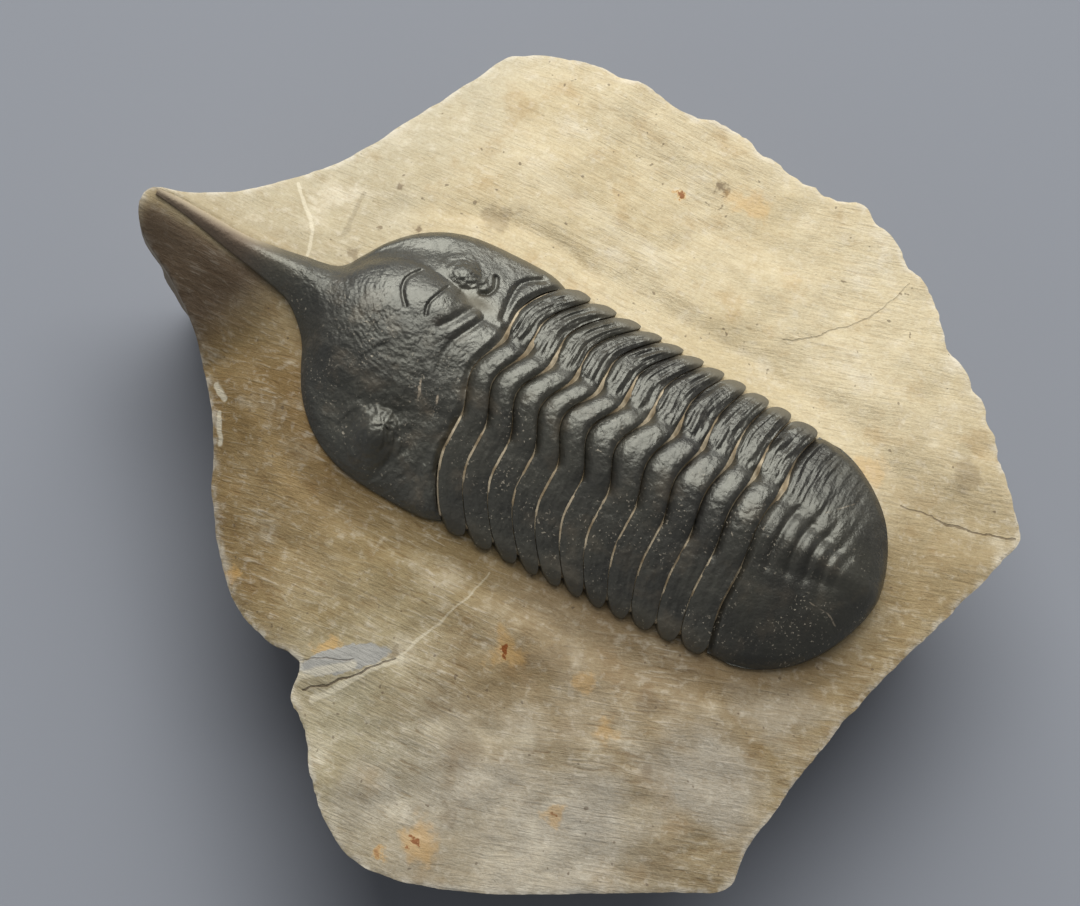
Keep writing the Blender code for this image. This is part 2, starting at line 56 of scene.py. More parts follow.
# %% Camera
PHOTO_WIDTH = 1080
PIXELS_PER_MM = 10.5
VIEW_ELEVATION = math.radians(75.0)
VIEW_ROLL = math.radians(28.3)
VIEW_DISTANCE = 0.42
VIEW_TARGET = Vector((0.0, 0.0012, 0.0220))
SENSOR = 36.0


def add_camera():
    tilt, turn = VIEW_ELEVATION, VIEW_ROLL
    right = Vector((math.cos(turn), math.sin(turn) * math.sin(tilt), math.sin(turn) * math.cos(tilt)))
    up = Vector((-math.sin(turn), math.cos(turn) * math.sin(tilt), math.cos(turn) * math.cos(tilt)))
    back = Vector((0.0, -math.cos(tilt), math.sin(tilt)))
    bpy.ops.object.camera_add()
    camera = bpy.context.object
    camera.name = "photo_camera"
    camera.data.sensor_width = SENSOR
    camera.data.lens = SENSOR * VIEW_DISTANCE / (PHOTO_WIDTH / PIXELS_PER_MM * MM)
    camera.data.clip_start = 0.01
    turned = Matrix((right, up, back)).transposed().to_4x4()
    camera.matrix_world = Matrix.Translation(VIEW_TARGET + back * VIEW_DISTANCE) @ turned
    bpy.context.scene.camera = camera
    return camera


camera = add_camera()
print("lens mm", round(camera.data.lens, 1))

# %% Floor and lights
FLOOR_SIZE = 6.0
KEY_FROM = (-0.30, 0.72, 0.72)
KEY_POWER = 24.0
KEY_SIZE = 1.4
KEY_AWAY = 1.2
FILL_FROM = (-0.35, -0.75, 0.60)
FILL_POWER = 0.6
FILL_SIZE = 0.7
FILL_AWAY = 1.1
WORLD_COLOUR = (0.72, 0.76, 0.84)
WORLD_STRENGTH = 0.20


def add_light(name, toward, power, size, away):
    bpy.ops.object.light_add(type="AREA")
    light = bpy.context.object
    light.name = name
    light.data.energy = power
    light.data.size = size
    ray = Vector(toward).normalized()
    turned = ray.to_track_quat("Z", "Y").to_matrix().to_4x4()
    light.matrix_world = Matrix.Translation(VIEW_TARGET + ray * away) @ turned
    return light


def plain_material(name, colour, roughness):
    material = bpy.data.materials.new(name)
    material.use_nodes = True
    shader = material.node_tree.nodes["Principled BSDF"]
    shader.inputs["Base Color"].default_value = (*colour, 1.0)
    shader.inputs["Roughness"].default_value = roughness
    return material


bpy.ops.object.select_all(action="DESELECT")
bpy.ops.mesh.primitive_plane_add(size=FLOOR_SIZE, location=(0.0, 0.0, 0.0))
floor = bpy.context.object
floor.name = "studio_floor"
floor.data.materials.append(plain_material("studio_floor", (0.29, 0.305, 0.335), 0.85))
add_light("key_light", KEY_FROM, KEY_POWER, KEY_SIZE, KEY_AWAY)
add_light("fill_light", FILL_FROM, FILL_POWER, FILL_SIZE, FILL_AWAY)
world = bpy.data.worlds.new("studio")
world.use_nodes = True
world.node_tree.nodes["Background"].inputs["Color"].default_value = (*WORLD_COLOUR, 1.0)
world.node_tree.nodes["Background"].inputs["Strength"].default_value = WORLD_STRENGTH
bpy.context.scene.world = world
bpy.context.scene.view_settings.view_transform = "Standard"
print("floor and two soft lights")

# %% [markdown]
# ## The measures that the pieces share
# These are the same named sizes that the solids were built from, in millimetres, because the visible pieces
# have to lie exactly where the solids are.

# %% Shared measures
FACE_HEIGHT = 21.6
CREST_SLOPE = 0.11
CREST_START = -24.0
CREST_BLEND = 1.5
NEAR_FALL = (0.95, 0.17)
FAR_FALL = (0.45, 0.15)
FALL_CHANGE = (-31.0, -9.0)
FALL_START = 1.0
MOAT_DEPTH = 0.45
MOAT_AT = 2.4
MOAT_WIDTH = 1.7
LUMP = 0.55
LUMP_SIZE = 9.0
WALL_LEVELS = ((0.0, 1.0), (0.35, 0.90), (2.6, 0.58), (6.3, 0.24), (8.5, 0.0))
AXIS_Y = 3.7
JOINT_GAP = 0.3
RIM = 1.0
RIM_DROP = 0.65
RIM_ROUND = 1.2
CREST = 4.95
LOBE_HALF = 4.5
LOBE_EDGE = 5.4
LOBE_RISE = 0.6
LOBE_GROOVE = 0.22
FULCRUM = 8.8
TIP_ROUND = 1.5
TIP_CUT = 0.46
SEGMENTS = 11
JOINT_X = (-8.2, -5.7, -3.1, -0.5, 2.0, 4.65, 7.4, 10.3, 13.2, 16.1, 18.8, 21.7)
JOINT_BOW = (1.15, 1.4, 1.5, 1.5, 1.7, 1.6, 1.4, 1.0, 0.85, 0.6, 0.5, 0.4)
JOINT_SWEEP = (3.1, 3.5, 3.8, 3.9, 3.7, 3.5, 3.0, 2.4, 1.9, 1.6, 1.4, 1.7)
BODY_HALF_X = (-9.0, 4.0, 12.0, 18.0, 24.0)
BODY_HALF = (13.6, 13.3, 13.1, 12.8, 12.3)
HEAD_X = (-43.8, -42.2, -38.0, -33.3, -28.6, -26.4, -24.9, -23.8, -22.4, -20.3, -17.9, -15.0, -11.0, -7.2, -5.2)
HEAD_HALF = (0.3, 0.45, 0.8, 1.25, 2.15, 3.1, 4.4, 6.4, 8.7, 10.9, 12.4, 13.3, 13.6, 13.6, 13.0)
SNOUT_BEND = (1.15, 0.6)
SNOUT_BEND_AT = ((23.0, 29.0), (33.0, 42.0))
CREST_X = (-44.3, -41.0, -36.0, -31.0, -27.5, -25.3, -23.3, -21.0, -18.0, -14.0, -10.0, -8.0, -4.0)
CREST_Z = (0.05, 0.35, 0.85, 1.6, 2.4, 3.1, 4.1, 5.0, 5.35, 5.3, 5.05, 4.95, 4.95)
GLABELLA_X = (-24.5, -23.0, -20.5, -18.5, -15.5, -12.5, -10.0)
GLABELLA_HALF = (3.0, 5.8, 7.1, 7.4, 7.2, 6.1, 5.1)
GLABELLA_RISE = 0.6
TAIL_X = (23.4, 25.2, 27.0, 28.7, 30.4, 31.9, 33.2, 34.2, 34.8, 35.0)
TAIL_HALF = (12.2, 12.0, 11.5, 10.6, 9.4, 7.8, 5.8, 3.6, 1.6, 0.0)
TAIL_RINGS = (24.0, 25.9, 27.6, 29.2, 30.6)
TAIL_LOBE = (4.4, 1.5)
TAIL_LOBE_SPAN = (17.0, 33.1)
RIM_POINTS = (
    (-44.7, 3.4), (-44.9, 4.5), (-44.5, 5.6), (-41.5, 6.9), (-37.4, 10.0), (-33.2, 14.9), (-29.4, 20.4), (-26.2, 27.0),
    (-23.0, 33.6), (-21.1, 37.4), (-16.8, 39.2), (-8.6, 40.3), (-3.7, 39.7), (1.1, 40.8), (6.1, 39.7),
    (12.2, 39.3), (16.5, 40.1), (19.3, 39.0), (24.2, 36.4), (27.3, 34.4), (29.8, 31.4), (34.9, 28.2),
    (39.2, 24.1), (42.8, 19.7), (44.9, 17.0), (43.5, 11.4), (41.1, 4.0), (39.0, -2.4), (36.8, -11.5),
    (35.1, -22.4), (35.0, -26.7), (29.9, -29.8), (24.7, -32.7), (14.6, -38.0), (7.5, -40.5), (1.9, -40.6),
    (-3.3, -37.4), (-6.6, -33.3), (-9.8, -30.2), (-10.6, -27.1), (-14.5, -26.4), (-18.6, -24.4),
    (-22.3, -20.7), (-25.8, -15.9), (-29.6, -9.0), (-34.5, -3.4), (-39.3, -0.2), (-43.3, 1.8),
)
print("rim points read from the photo:", len(RIM_POINTS))


# %% Small helpers for shapes
def ramp(x, low, high):
    """0 below low, 1 above high and a smooth rise between them."""
    t = np.clip((x - low) / (high - low), 0.0, 1.0)
    return t * t * (3.0 - 2.0 * t)


def curve_through(points, step, closed):
    """Points about a step apart on a smooth curve through the given ones."""
    count = len(points)
    out = []
    for i in range(count if closed else count - 1):
        before = points[i - 1] if closed or i > 0 else points[0]
        start = points[i]
        end = points[(i + 1) % count]
        after = points[(i + 2) % count] if closed or i + 2 < count else points[-1]
        pieces = max(1, round(math.dist(start, end) / step))
        for j in range(pieces):
            t = j / pieces
            w = (-0.5 * t + t * t - 0.5 * t ** 3, 1 - 2.5 * t * t + 1.5 * t ** 3,
                 0.5 * t + 2 * t * t - 1.5 * t ** 3, -0.5 * t * t + 0.5 * t ** 3)
            out.append(tuple(w[0] * a + w[1] * b + w[2] * c + w[3] * d
                             for a, b, c, d in zip(before, start, end, after)))
    if not closed:
        out.append(tuple(points[-1]))
    return out


def distance(x, y, line, closed=False):
    """Distance of each place from a line of points."""
    best = np.full(np.shape(x), 1.0e9)
    ends = list(zip(line, line[1:]))
    if closed:
        ends.append((line[-1], line[0]))
    for (ax, ay), (bx, by) in ends:
        length = (bx - ax) ** 2 + (by - ay) ** 2
        t = np.clip(((x - ax) * (bx - ax) + (y - ay) * (by - ay)) / length, 0.0, 1.0)
        best = np.minimum(best, np.hypot(x - ax - t * (bx - ax), y - ay - t * (by - ay)))
    return best


def inside(x, y, line):
    """True for the places inside a closed line of points."""
    found = np.zeros(np.shape(x), dtype=bool)
    for (ax, ay), (bx, by) in zip(line, line[1:] + line[:1]):
        if ay != by:
            found ^= ((ay > y) != (by > y)) & (x < ax + (y - ay) * (bx - ax) / (by - ay))
    return found


def lump(x, y, size, seed, octaves=3):
    """Rolling relief between about -1 and 1, the same on every run."""
    flat = zip(np.ravel(x) / size, np.ravel(y) / size)
    values = [noise.fractal((a, b, seed), 1.0, 2.0, octaves) for a, b in flat]
    return np.reshape(values, np.shape(x))


def lump3(points, size, seed, octaves=3):
    """The same in space, for the broken sides."""
    values = [noise.fractal((a / size, b / size, c / size + seed), 1.0, 2.0, octaves) for a, b, c in points]
    return np.array(values)


print("helpers ready")


# %% The body's plan: half widths and joints
def body_half(x):
    return np.interp(x, BODY_HALF_X, BODY_HALF)


def joint(k, w):
    """Place along the body of joint k, at a distance w from the mid line."""
    bow = JOINT_BOW[k] * np.cos(np.clip(w / LOBE_HALF, 0.0, 1.0) * math.pi / 2) ** 2
    back = np.clip((w - FULCRUM + 1.5) / (13.2 - FULCRUM + 1.5), 0.0, 1.0)
    return JOINT_X[k] - bow + JOINT_SWEEP[k] * back ** 1.7


def face_level(x):
    """Height of the face that carries the fossil: level, then rising along the prow."""
    return FACE_HEIGHT + CREST_SLOPE * CREST_BLEND * np.log1p(np.exp((CREST_START - x) / CREST_BLEND))


def mid_line(x):
    root, tip = (bend * ramp(-x, *span) for bend, span in zip(SNOUT_BEND, SNOUT_BEND_AT))
    return AXIS_Y + root + tip


HEAD_SIDE = curve_through(list(zip(HEAD_X, HEAD_HALF)), 0.35, False)
HEAD_SIDE_X = [p[0] for p in HEAD_SIDE]
HEAD_SIDE_W = [p[1] for p in HEAD_SIDE]


def head_half(x):
    return np.interp(x, HEAD_SIDE_X, HEAD_SIDE_W)


def footprint():
    """Outline of the whole fossil on its stone, as (x, y)."""
    half = curve_through(list(zip(HEAD_X, HEAD_HALF)), 1.3, False)
    half += [(x, body_half(x)) for x in np.arange(-3.0, 23.0, 2.5)]
    half += list(zip(TAIL_X, TAIL_HALF))
    near = [(x, mid_line(x) - w) for x, w in half]
    far = [(x, mid_line(x) + w) for x, w in reversed(half[:-1])]
    return near + far


FOOTPRINT = footprint()
print("footprint points:", len(FOOTPRINT))


# %% Mesh helpers
def deselect():
    if bpy.context.mode != "OBJECT":
        bpy.ops.object.mode_set(mode="OBJECT")
    bpy.ops.object.select_all(action="DESELECT")


def read_points(obj):
    flat = np.empty(len(obj.data.vertices) * 3)
    obj.data.vertices.foreach_get("co", flat)
    return flat.reshape(-1, 3)


def write_points(obj, points):
    obj.data.vertices.foreach_set("co", np.ravel(points))
    obj.data.update()


def selected_points(obj):
    flags = np.empty(len(obj.data.vertices), dtype=bool)
    obj.data.vertices.foreach_get("select", flags)
    return flags


def add_values(obj, name, values):
    """A number on each vertex, for a material to read."""
    layer = obj.data.attributes.new(name, "FLOAT", "POINT")
    layer.data.foreach_set("value", np.asarray(values, dtype=np.float32))


def finish_piece(obj, nodes, material, angle=60.0):
    """Normals out, smooth, its own finish, and its place on the frame."""
    deselect()
    obj.select_set(True)
    bpy.context.view_layer.objects.active = obj
    bpy.ops.object.mode_set(mode="EDIT")
    bpy.ops.mesh.select_all(action="SELECT")
    bpy.ops.mesh.normals_make_consistent(inside=False)
    bpy.ops.object.mode_set(mode="OBJECT")
    bpy.ops.object.shade_smooth_by_angle(angle=math.radians(angle))
    obj.data.materials.clear()
    obj.data.materials.append(material)
    if nodes:
        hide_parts(*nodes)
    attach(obj, "root")
    faces = sum(len(p.vertices) - 2 for p in obj.data.polygons)
    print(obj.name, "triangles", faces)


print("mesh helpers ready")

# %% [markdown]
# ## Shader groups
# Three effects are used by more than one finish. "fine_grain" mixes two scales of noise into a mask and a
# height. "line_mark" is a soft wandering line between two places, for cracks and mineral veins. "spot_mark" is
# a ragged patch round one place, for rust and stains.

# %% Node helpers
def new_group(name, inputs, outputs):
    group = bpy.data.node_groups.new(name, "ShaderNodeTree")
    for label, kind, value in inputs:
        socket = group.interface.new_socket(label, in_out="INPUT", socket_type=kind)
        if value is not None:
            socket.default_value = value
    for label, kind in outputs:
        group.interface.new_socket(label, in_out="OUTPUT", socket_type=kind)
    return group, group.nodes.new("NodeGroupInput"), group.nodes.new("NodeGroupOutput")


def add_node(tree, kind, links=None, **settings):
    """A node with its settings, and its inputs filled from sockets or values."""
    node = tree.nodes.new(kind)
    for key, value in settings.items():
        setattr(node, key, value)
    for key, value in (links or {}).items():
        socket = node.inputs[key]
        if isinstance(value, bpy.types.NodeSocket):
            tree.links.new(value, socket)
        else:
            socket.default_value = value
    return node


def math_node(tree, operation, a, b=None, c=None, clamp=False):
    values = {i: v for i, v in enumerate((a, b, c)) if v is not None}
    return add_node(tree, "ShaderNodeMath", values, operation=operation, use_clamp=clamp).outputs[0]


def mix_colour(tree, factor, a, b, blend="MIX"):
    node = add_node(tree, "ShaderNodeMix", {0: factor, 6: a, 7: b}, data_type="RGBA", blend_type=blend)
    return node.outputs[2]


def remap(tree, value, low, high, to_low=0.0, to_high=1.0):
    links = {"Value": value, "From Min": low, "From Max": high, "To Min": to_low, "To Max": to_high}
    return add_node(tree, "ShaderNodeMapRange", links, clamp=True, interpolation_type="SMOOTHSTEP").outputs[0]


def noise_node(tree, vector, scale, detail=4.0, rough=0.55):
    links = {"Vector": vector, "Scale": scale, "Detail": detail, "Roughness": rough}
    return add_node(tree, "ShaderNodeTexNoise", links).outputs["Fac"]


print("node helpers ready")


# %% fine_grain
def make_fine_grain():
    group, given, out = new_group("fine_grain", [
        ("Vector", "NodeSocketVector", None), ("Coarse Scale", "NodeSocketFloat", 400.0),
        ("Fine Scale", "NodeSocketFloat", 2000.0), ("Fine Share", "NodeSocketFloat", 0.5)],
        [("Mask", "NodeSocketFloat"), ("Height", "NodeSocketFloat")])
    coarse = noise_node(group, given.outputs["Vector"], given.outputs["Coarse Scale"])
    fine = noise_node(group, given.outputs["Vector"], given.outputs["Fine Scale"], 3.0)
    both = add_node(group, "ShaderNodeMix", {0: given.outputs["Fine Share"], 2: coarse, 3: fine})
    group.links.new(both.outputs[0], out.inputs["Height"])
    group.links.new(remap(group, both.outputs[0], 0.35, 0.65), out.inputs["Mask"])
    return group


FINE_GRAIN = make_fine_grain()


# %% line_mark
def make_line_mark():
    """Mask of a wandering line on the upper face between two places given in metres."""
    group, given, out = new_group("line_mark", [
        ("Vector", "NodeSocketVector", None), ("Start", "NodeSocketVector", (0.0, 0.0, 0.0)),
        ("End", "NodeSocketVector", (0.01, 0.0, 0.0)), ("Half Width", "NodeSocketFloat", 0.0002),
        ("Wander", "NodeSocketFloat", 0.0008)], [("Mask", "NodeSocketFloat")])
    wander = add_node(group, "ShaderNodeTexNoise", {"Vector": given.outputs["Vector"], "Scale": 260.0,
                                                    "Detail": 4.0})
    centred = add_node(group, "ShaderNodeVectorMath", {0: wander.outputs["Color"], 1: (0.5, 0.5, 0.5)},
                       operation="SUBTRACT")
    moved = add_node(group, "ShaderNodeVectorMath", {0: centred.outputs[0], "Scale": given.outputs["Wander"]},
                     operation="SCALE")
    place = add_node(group, "ShaderNodeVectorMath", {0: given.outputs["Vector"], 1: moved.outputs[0]},
                     operation="ADD")
    flat = add_node(group, "ShaderNodeVectorMath", {0: place.outputs[0], 1: (1.0, 1.0, 0.0)},
                    operation="MULTIPLY")
    along = add_node(group, "ShaderNodeVectorMath", {0: given.outputs["End"], 1: given.outputs["Start"]},
                     operation="SUBTRACT")
    from_start = add_node(group, "ShaderNodeVectorMath", {0: flat.outputs[0], 1: given.outputs["Start"]},
                          operation="SUBTRACT")
    dot = add_node(group, "ShaderNodeVectorMath", {0: from_start.outputs[0], 1: along.outputs[0]},
                   operation="DOT_PRODUCT").outputs["Value"]
    square = add_node(group, "ShaderNodeVectorMath", {0: along.outputs[0], 1: along.outputs[0]},
                      operation="DOT_PRODUCT").outputs["Value"]
    share = math_node(group, "DIVIDE", dot, square, clamp=True)
    nearest = add_node(group, "ShaderNodeVectorMath", {0: along.outputs[0], "Scale": share}, operation="SCALE")
    away = add_node(group, "ShaderNodeVectorMath", {0: from_start.outputs[0], 1: nearest.outputs[0]},
                    operation="DISTANCE").outputs["Value"]
    inner = math_node(group, "MULTIPLY", given.outputs["Half Width"], 0.4)
    mask = remap(group, away, inner, given.outputs["Half Width"], 1.0, 0.0)
    group.links.new(mask, out.inputs["Mask"])
    return group


LINE_MARK = make_line_mark()


# %% spot_mark
def make_spot_mark():
    """Mask of a ragged patch round one place given in metres."""
    group, given, out = new_group("spot_mark", [
        ("Vector", "NodeSocketVector", None), ("Centre", "NodeSocketVector", (0.0, 0.0, 0.0)),
        ("Radius", "NodeSocketFloat", 0.002), ("Ragged", "NodeSocketFloat", 0.6)],
        [("Mask", "NodeSocketFloat")])
    flat = add_node(group, "ShaderNodeVectorMath", {0: given.outputs["Vector"], 1: (1.0, 1.0, 0.0)},
                    operation="MULTIPLY")
    away = add_node(group, "ShaderNodeVectorMath", {0: flat.outputs[0], 1: given.outputs["Centre"]},
                    operation="DISTANCE").outputs["Value"]
    share = math_node(group, "DIVIDE", away, given.outputs["Radius"])
    fine = math_node(group, "DIVIDE", 0.9, given.outputs["Radius"])
    edge = math_node(group, "SUBTRACT", noise_node(group, given.outputs["Vector"], fine, 5.0), 0.5)
    rough = math_node(group, "MULTIPLY_ADD", edge, math_node(group, "MULTIPLY", given.outputs["Ragged"], 4.0),
                      share)
    group.links.new(remap(group, rough, 0.35, 1.0, 1.0, 0.0), out.inputs["Mask"])
    return group


SPOT_MARK = make_spot_mark()
print("shader groups ready")


def group_node(tree, group, links):
    node = tree.nodes.new("ShaderNodeGroup")
    node.node_tree = group
    for key, value in links.items():
        if isinstance(value, bpy.types.NodeSocket):
            tree.links.new(value, node.inputs[key])
        else:
            node.inputs[key].default_value = value
    return node


# %% [markdown]
# ## The stone's finish
# The limestone is painted pale buff on the far side and darker and browner near the viewer: partly its own tone,
# partly painted light and shade for how the light rakes over the far side. The preparer's tools left fine parallel
# strokes. Rust spots, a grey lens of vein at the notch, pale veins and hairline cracks lie where the photo shows them,
# each a mark with its own place.

# %% Marks on the stone, in millimetres on the upper face
RUST_SPOTS = (
    ((5.9, -17.0), 2.1, 0.7, 0.42), ((5.9, -17.0), 0.75, 1.1, 1.0), ((13.8, -16.2), 1.2, 0.7, 0.35),
    ((17.9, -19.2), 1.3, 0.7, 0.32), ((17.3, -28.3), 1.2, 0.8, 0.42), ((17.3, -28.3), 0.35, 0.9, 0.8),
    ((6.9, -36.7), 2.4, 0.7, 0.45), ((6.9, -36.7), 0.7, 1.1, 0.9), ((4.5, -39.2), 0.8, 0.7, 0.75),
    ((-9.1, -24.5), 1.5, 0.8, 0.45), ((-20.4, -22.0), 1.0, 0.8, 0.5), ((0.0, 31.8), 0.6, 1.0, 0.9),
    ((7.0, 34.4), 2.4, 0.9, 0.35), ((28.5, 15.7), 2.0, 1.0, 0.3),
)
BROWN_STAINS = (
    ((38.1, 20.1), 2.6, 0.9, 0.35), ((20.1, -14.6), 2.0, 0.9, 0.40), ((10.9, -15.8), 2.6, 0.9, 0.30),
    ((23.1, -20.9), 1.0, 0.6, 0.42), ((7.5, -26.8), 3.4, 0.9, 0.26), ((8.8, -33.0), 1.1, 0.9, 0.35),
    ((-3.0, -21.9), 0.8, 0.8, 0.45), ((2.2, -24.0), 2.6, 0.9, 0.18),
    ((-24.2, 18.5), 0.45, 0.7, 0.7), ((-23.8, 13.7), 0.4, 0.7, 0.7), ((-20.5, 15.1), 0.5, 0.9, 0.8),
    ((3.4, 34.4), 0.8, 0.9, 0.8), ((-14.0, 20.0), 1.8, 1.2, 0.35), ((-24.9, 10.1), 0.7, 1.2, 0.5),
)
CRACKS = (
    ((33.3, 14.1), (37.3, 14.5), 0.13, 0.65), ((37.3, 14.5), (42.0, 16.1), 0.14, 0.75),
    ((42.0, 16.1), (44.6, 16.5), 0.17, 0.8), ((15.6, 23.0), (18.95, 25.7), 0.12, 0.4),
    ((18.95, 25.7), (19.75, 27.3), 0.12, 0.45), ((19.75, 27.3), (22.9, 31.6), 0.11, 0.4),
    ((22.9, 31.6), (24.1, 34.8), 0.10, 0.3), ((-9.3, -29.2), (-4.4, -24.8), 0.14, 0.9),
    ((-4.4, -24.8), (-2.9, -22.3), 0.13, 0.8), ((-11.0, -27.0), (-6.4, -24.5), 0.09, 0.5),
    ((-27.0, 16.4), (-26.4, 11.4), 0.3, 0.25),
)
VEINS = (
    ((-33.0, 14.0), (-31.4, 12.7), 0.22, 0.6), ((-31.4, 12.7), (-29.4, 10.2), 0.28, 0.6),
    ((-29.4, 10.2), (-28.5, 7.6), 0.24, 0.5), ((-8.0, -29.6), (-2.4, -22.0), 0.42, 0.6),
    ((-10.2, -28.2), (-6.2, -25.0), 0.60, 0.55), ((-2.6, -22.2), (-1.2, -18.8), 0.18, 0.5),
    ((-1.2, -18.8), (0.6, -14.0), 0.15, 0.38), ((0.6, -14.0), (1.1, -11.2), 0.13, 0.34),
    ((-30.4, -6.4), (-29.0, -7.4), 0.30, 0.8), ((-29.0, -8.8), (-27.4, -11.4), 0.30, 0.8),
    ((3.0, -26.5), (12.0, -23.5), 1.1, 0.16), ((-12.0, 26.0), (2.0, 24.4), 1.3, 0.2),
)
PALE_PATCHES = (
    ((28.5, -19.0), 8.5, 0.5, 0.75), ((20.0, -27.0), 6.5, 0.5, 0.6), ((31.5, -9.5), 5.5, 0.6, 0.5),
    ((1.5, -35.0), 5.0, 0.5, 0.4),
)
LENS = (-6.9, -24.8)
LENS_SIZE = (4.7, 1.3)
LENS_TURN = math.radians(40.0)
print("rust", len(RUST_SPOTS), "stains", len(BROWN_STAINS), "cracks", len(CRACKS), "veins", len(VEINS))


# %% Stone material
def metres(place):
    return (place[0] * MM, place[1] * MM, 0.0)


def strokes(tree, where, angle, across, along):
    """Fine wavy tool strokes: noise squeezed across the strokes and drawn out along them."""
    mapping = add_node(tree, "ShaderNodeMapping", {"Vector": where, "Rotation": (0.0, 0.0, angle),
                                                   "Scale": (1 / along, 1 / across, 1 / along)},
                       vector_type="TEXTURE")
    links = {"Vector": mapping.outputs[0], "Scale": 1.0, "Detail": 4.0, "Roughness": 0.62, "Distortion": 0.5}
    return add_node(tree, "ShaderNodeTexNoise", links).outputs["Fac"]


def tinted(tree, base, mask, amount, colour, blend="MIX"):
    return mix_colour(tree, math_node(tree, "MULTIPLY", mask, amount), base, (*colour, 1.0), blend)


def line_masks(tree, where, lines, wander):
    masks = []
    for start, end, width, amount in lines:
        mark = group_node(tree, LINE_MARK, {"Vector": where, "Start": metres(start), "End": metres(end),
                                            "Half Width": width * MM, "Wander": wander})
        masks.append(math_node(tree, "MULTIPLY", mark.outputs["Mask"], amount))
    return masks


def highest(tree, masks):
    top = masks[0]
    for mask in masks[1:]:
        top = math_node(tree, "MAXIMUM", top, mask)
    return top


def spot_masks(tree, where, spots):
    masks = []
    for place, radius, ragged, amount in spots:
        spot = group_node(tree, SPOT_MARK, {"Vector": where, "Centre": metres(place), "Radius": radius * MM,
                                            "Ragged": ragged})
        masks.append(math_node(tree, "MULTIPLY", spot.outputs["Mask"], amount))
    return masks


def lens_mask(tree, where):
    """The grey lens: an oval with a ragged margin."""
    size = (LENS_SIZE[0] * MM, LENS_SIZE[1] * MM, 1.0)
    flat = add_node(tree, "ShaderNodeMapping", {"Vector": where, "Location": metres(LENS), "Scale": size,
                                                "Rotation": (0.0, 0.0, LENS_TURN)}, vector_type="TEXTURE")
    away = add_node(tree, "ShaderNodeVectorMath", {0: flat.outputs[0]}, operation="LENGTH").outputs["Value"]
    ragged = math_node(tree, "MULTIPLY_ADD", noise_node(tree, where, 900.0, 4.0), 0.8, away)
    return remap(tree, ragged, 1.28, 1.42, 1.0, 0.0)


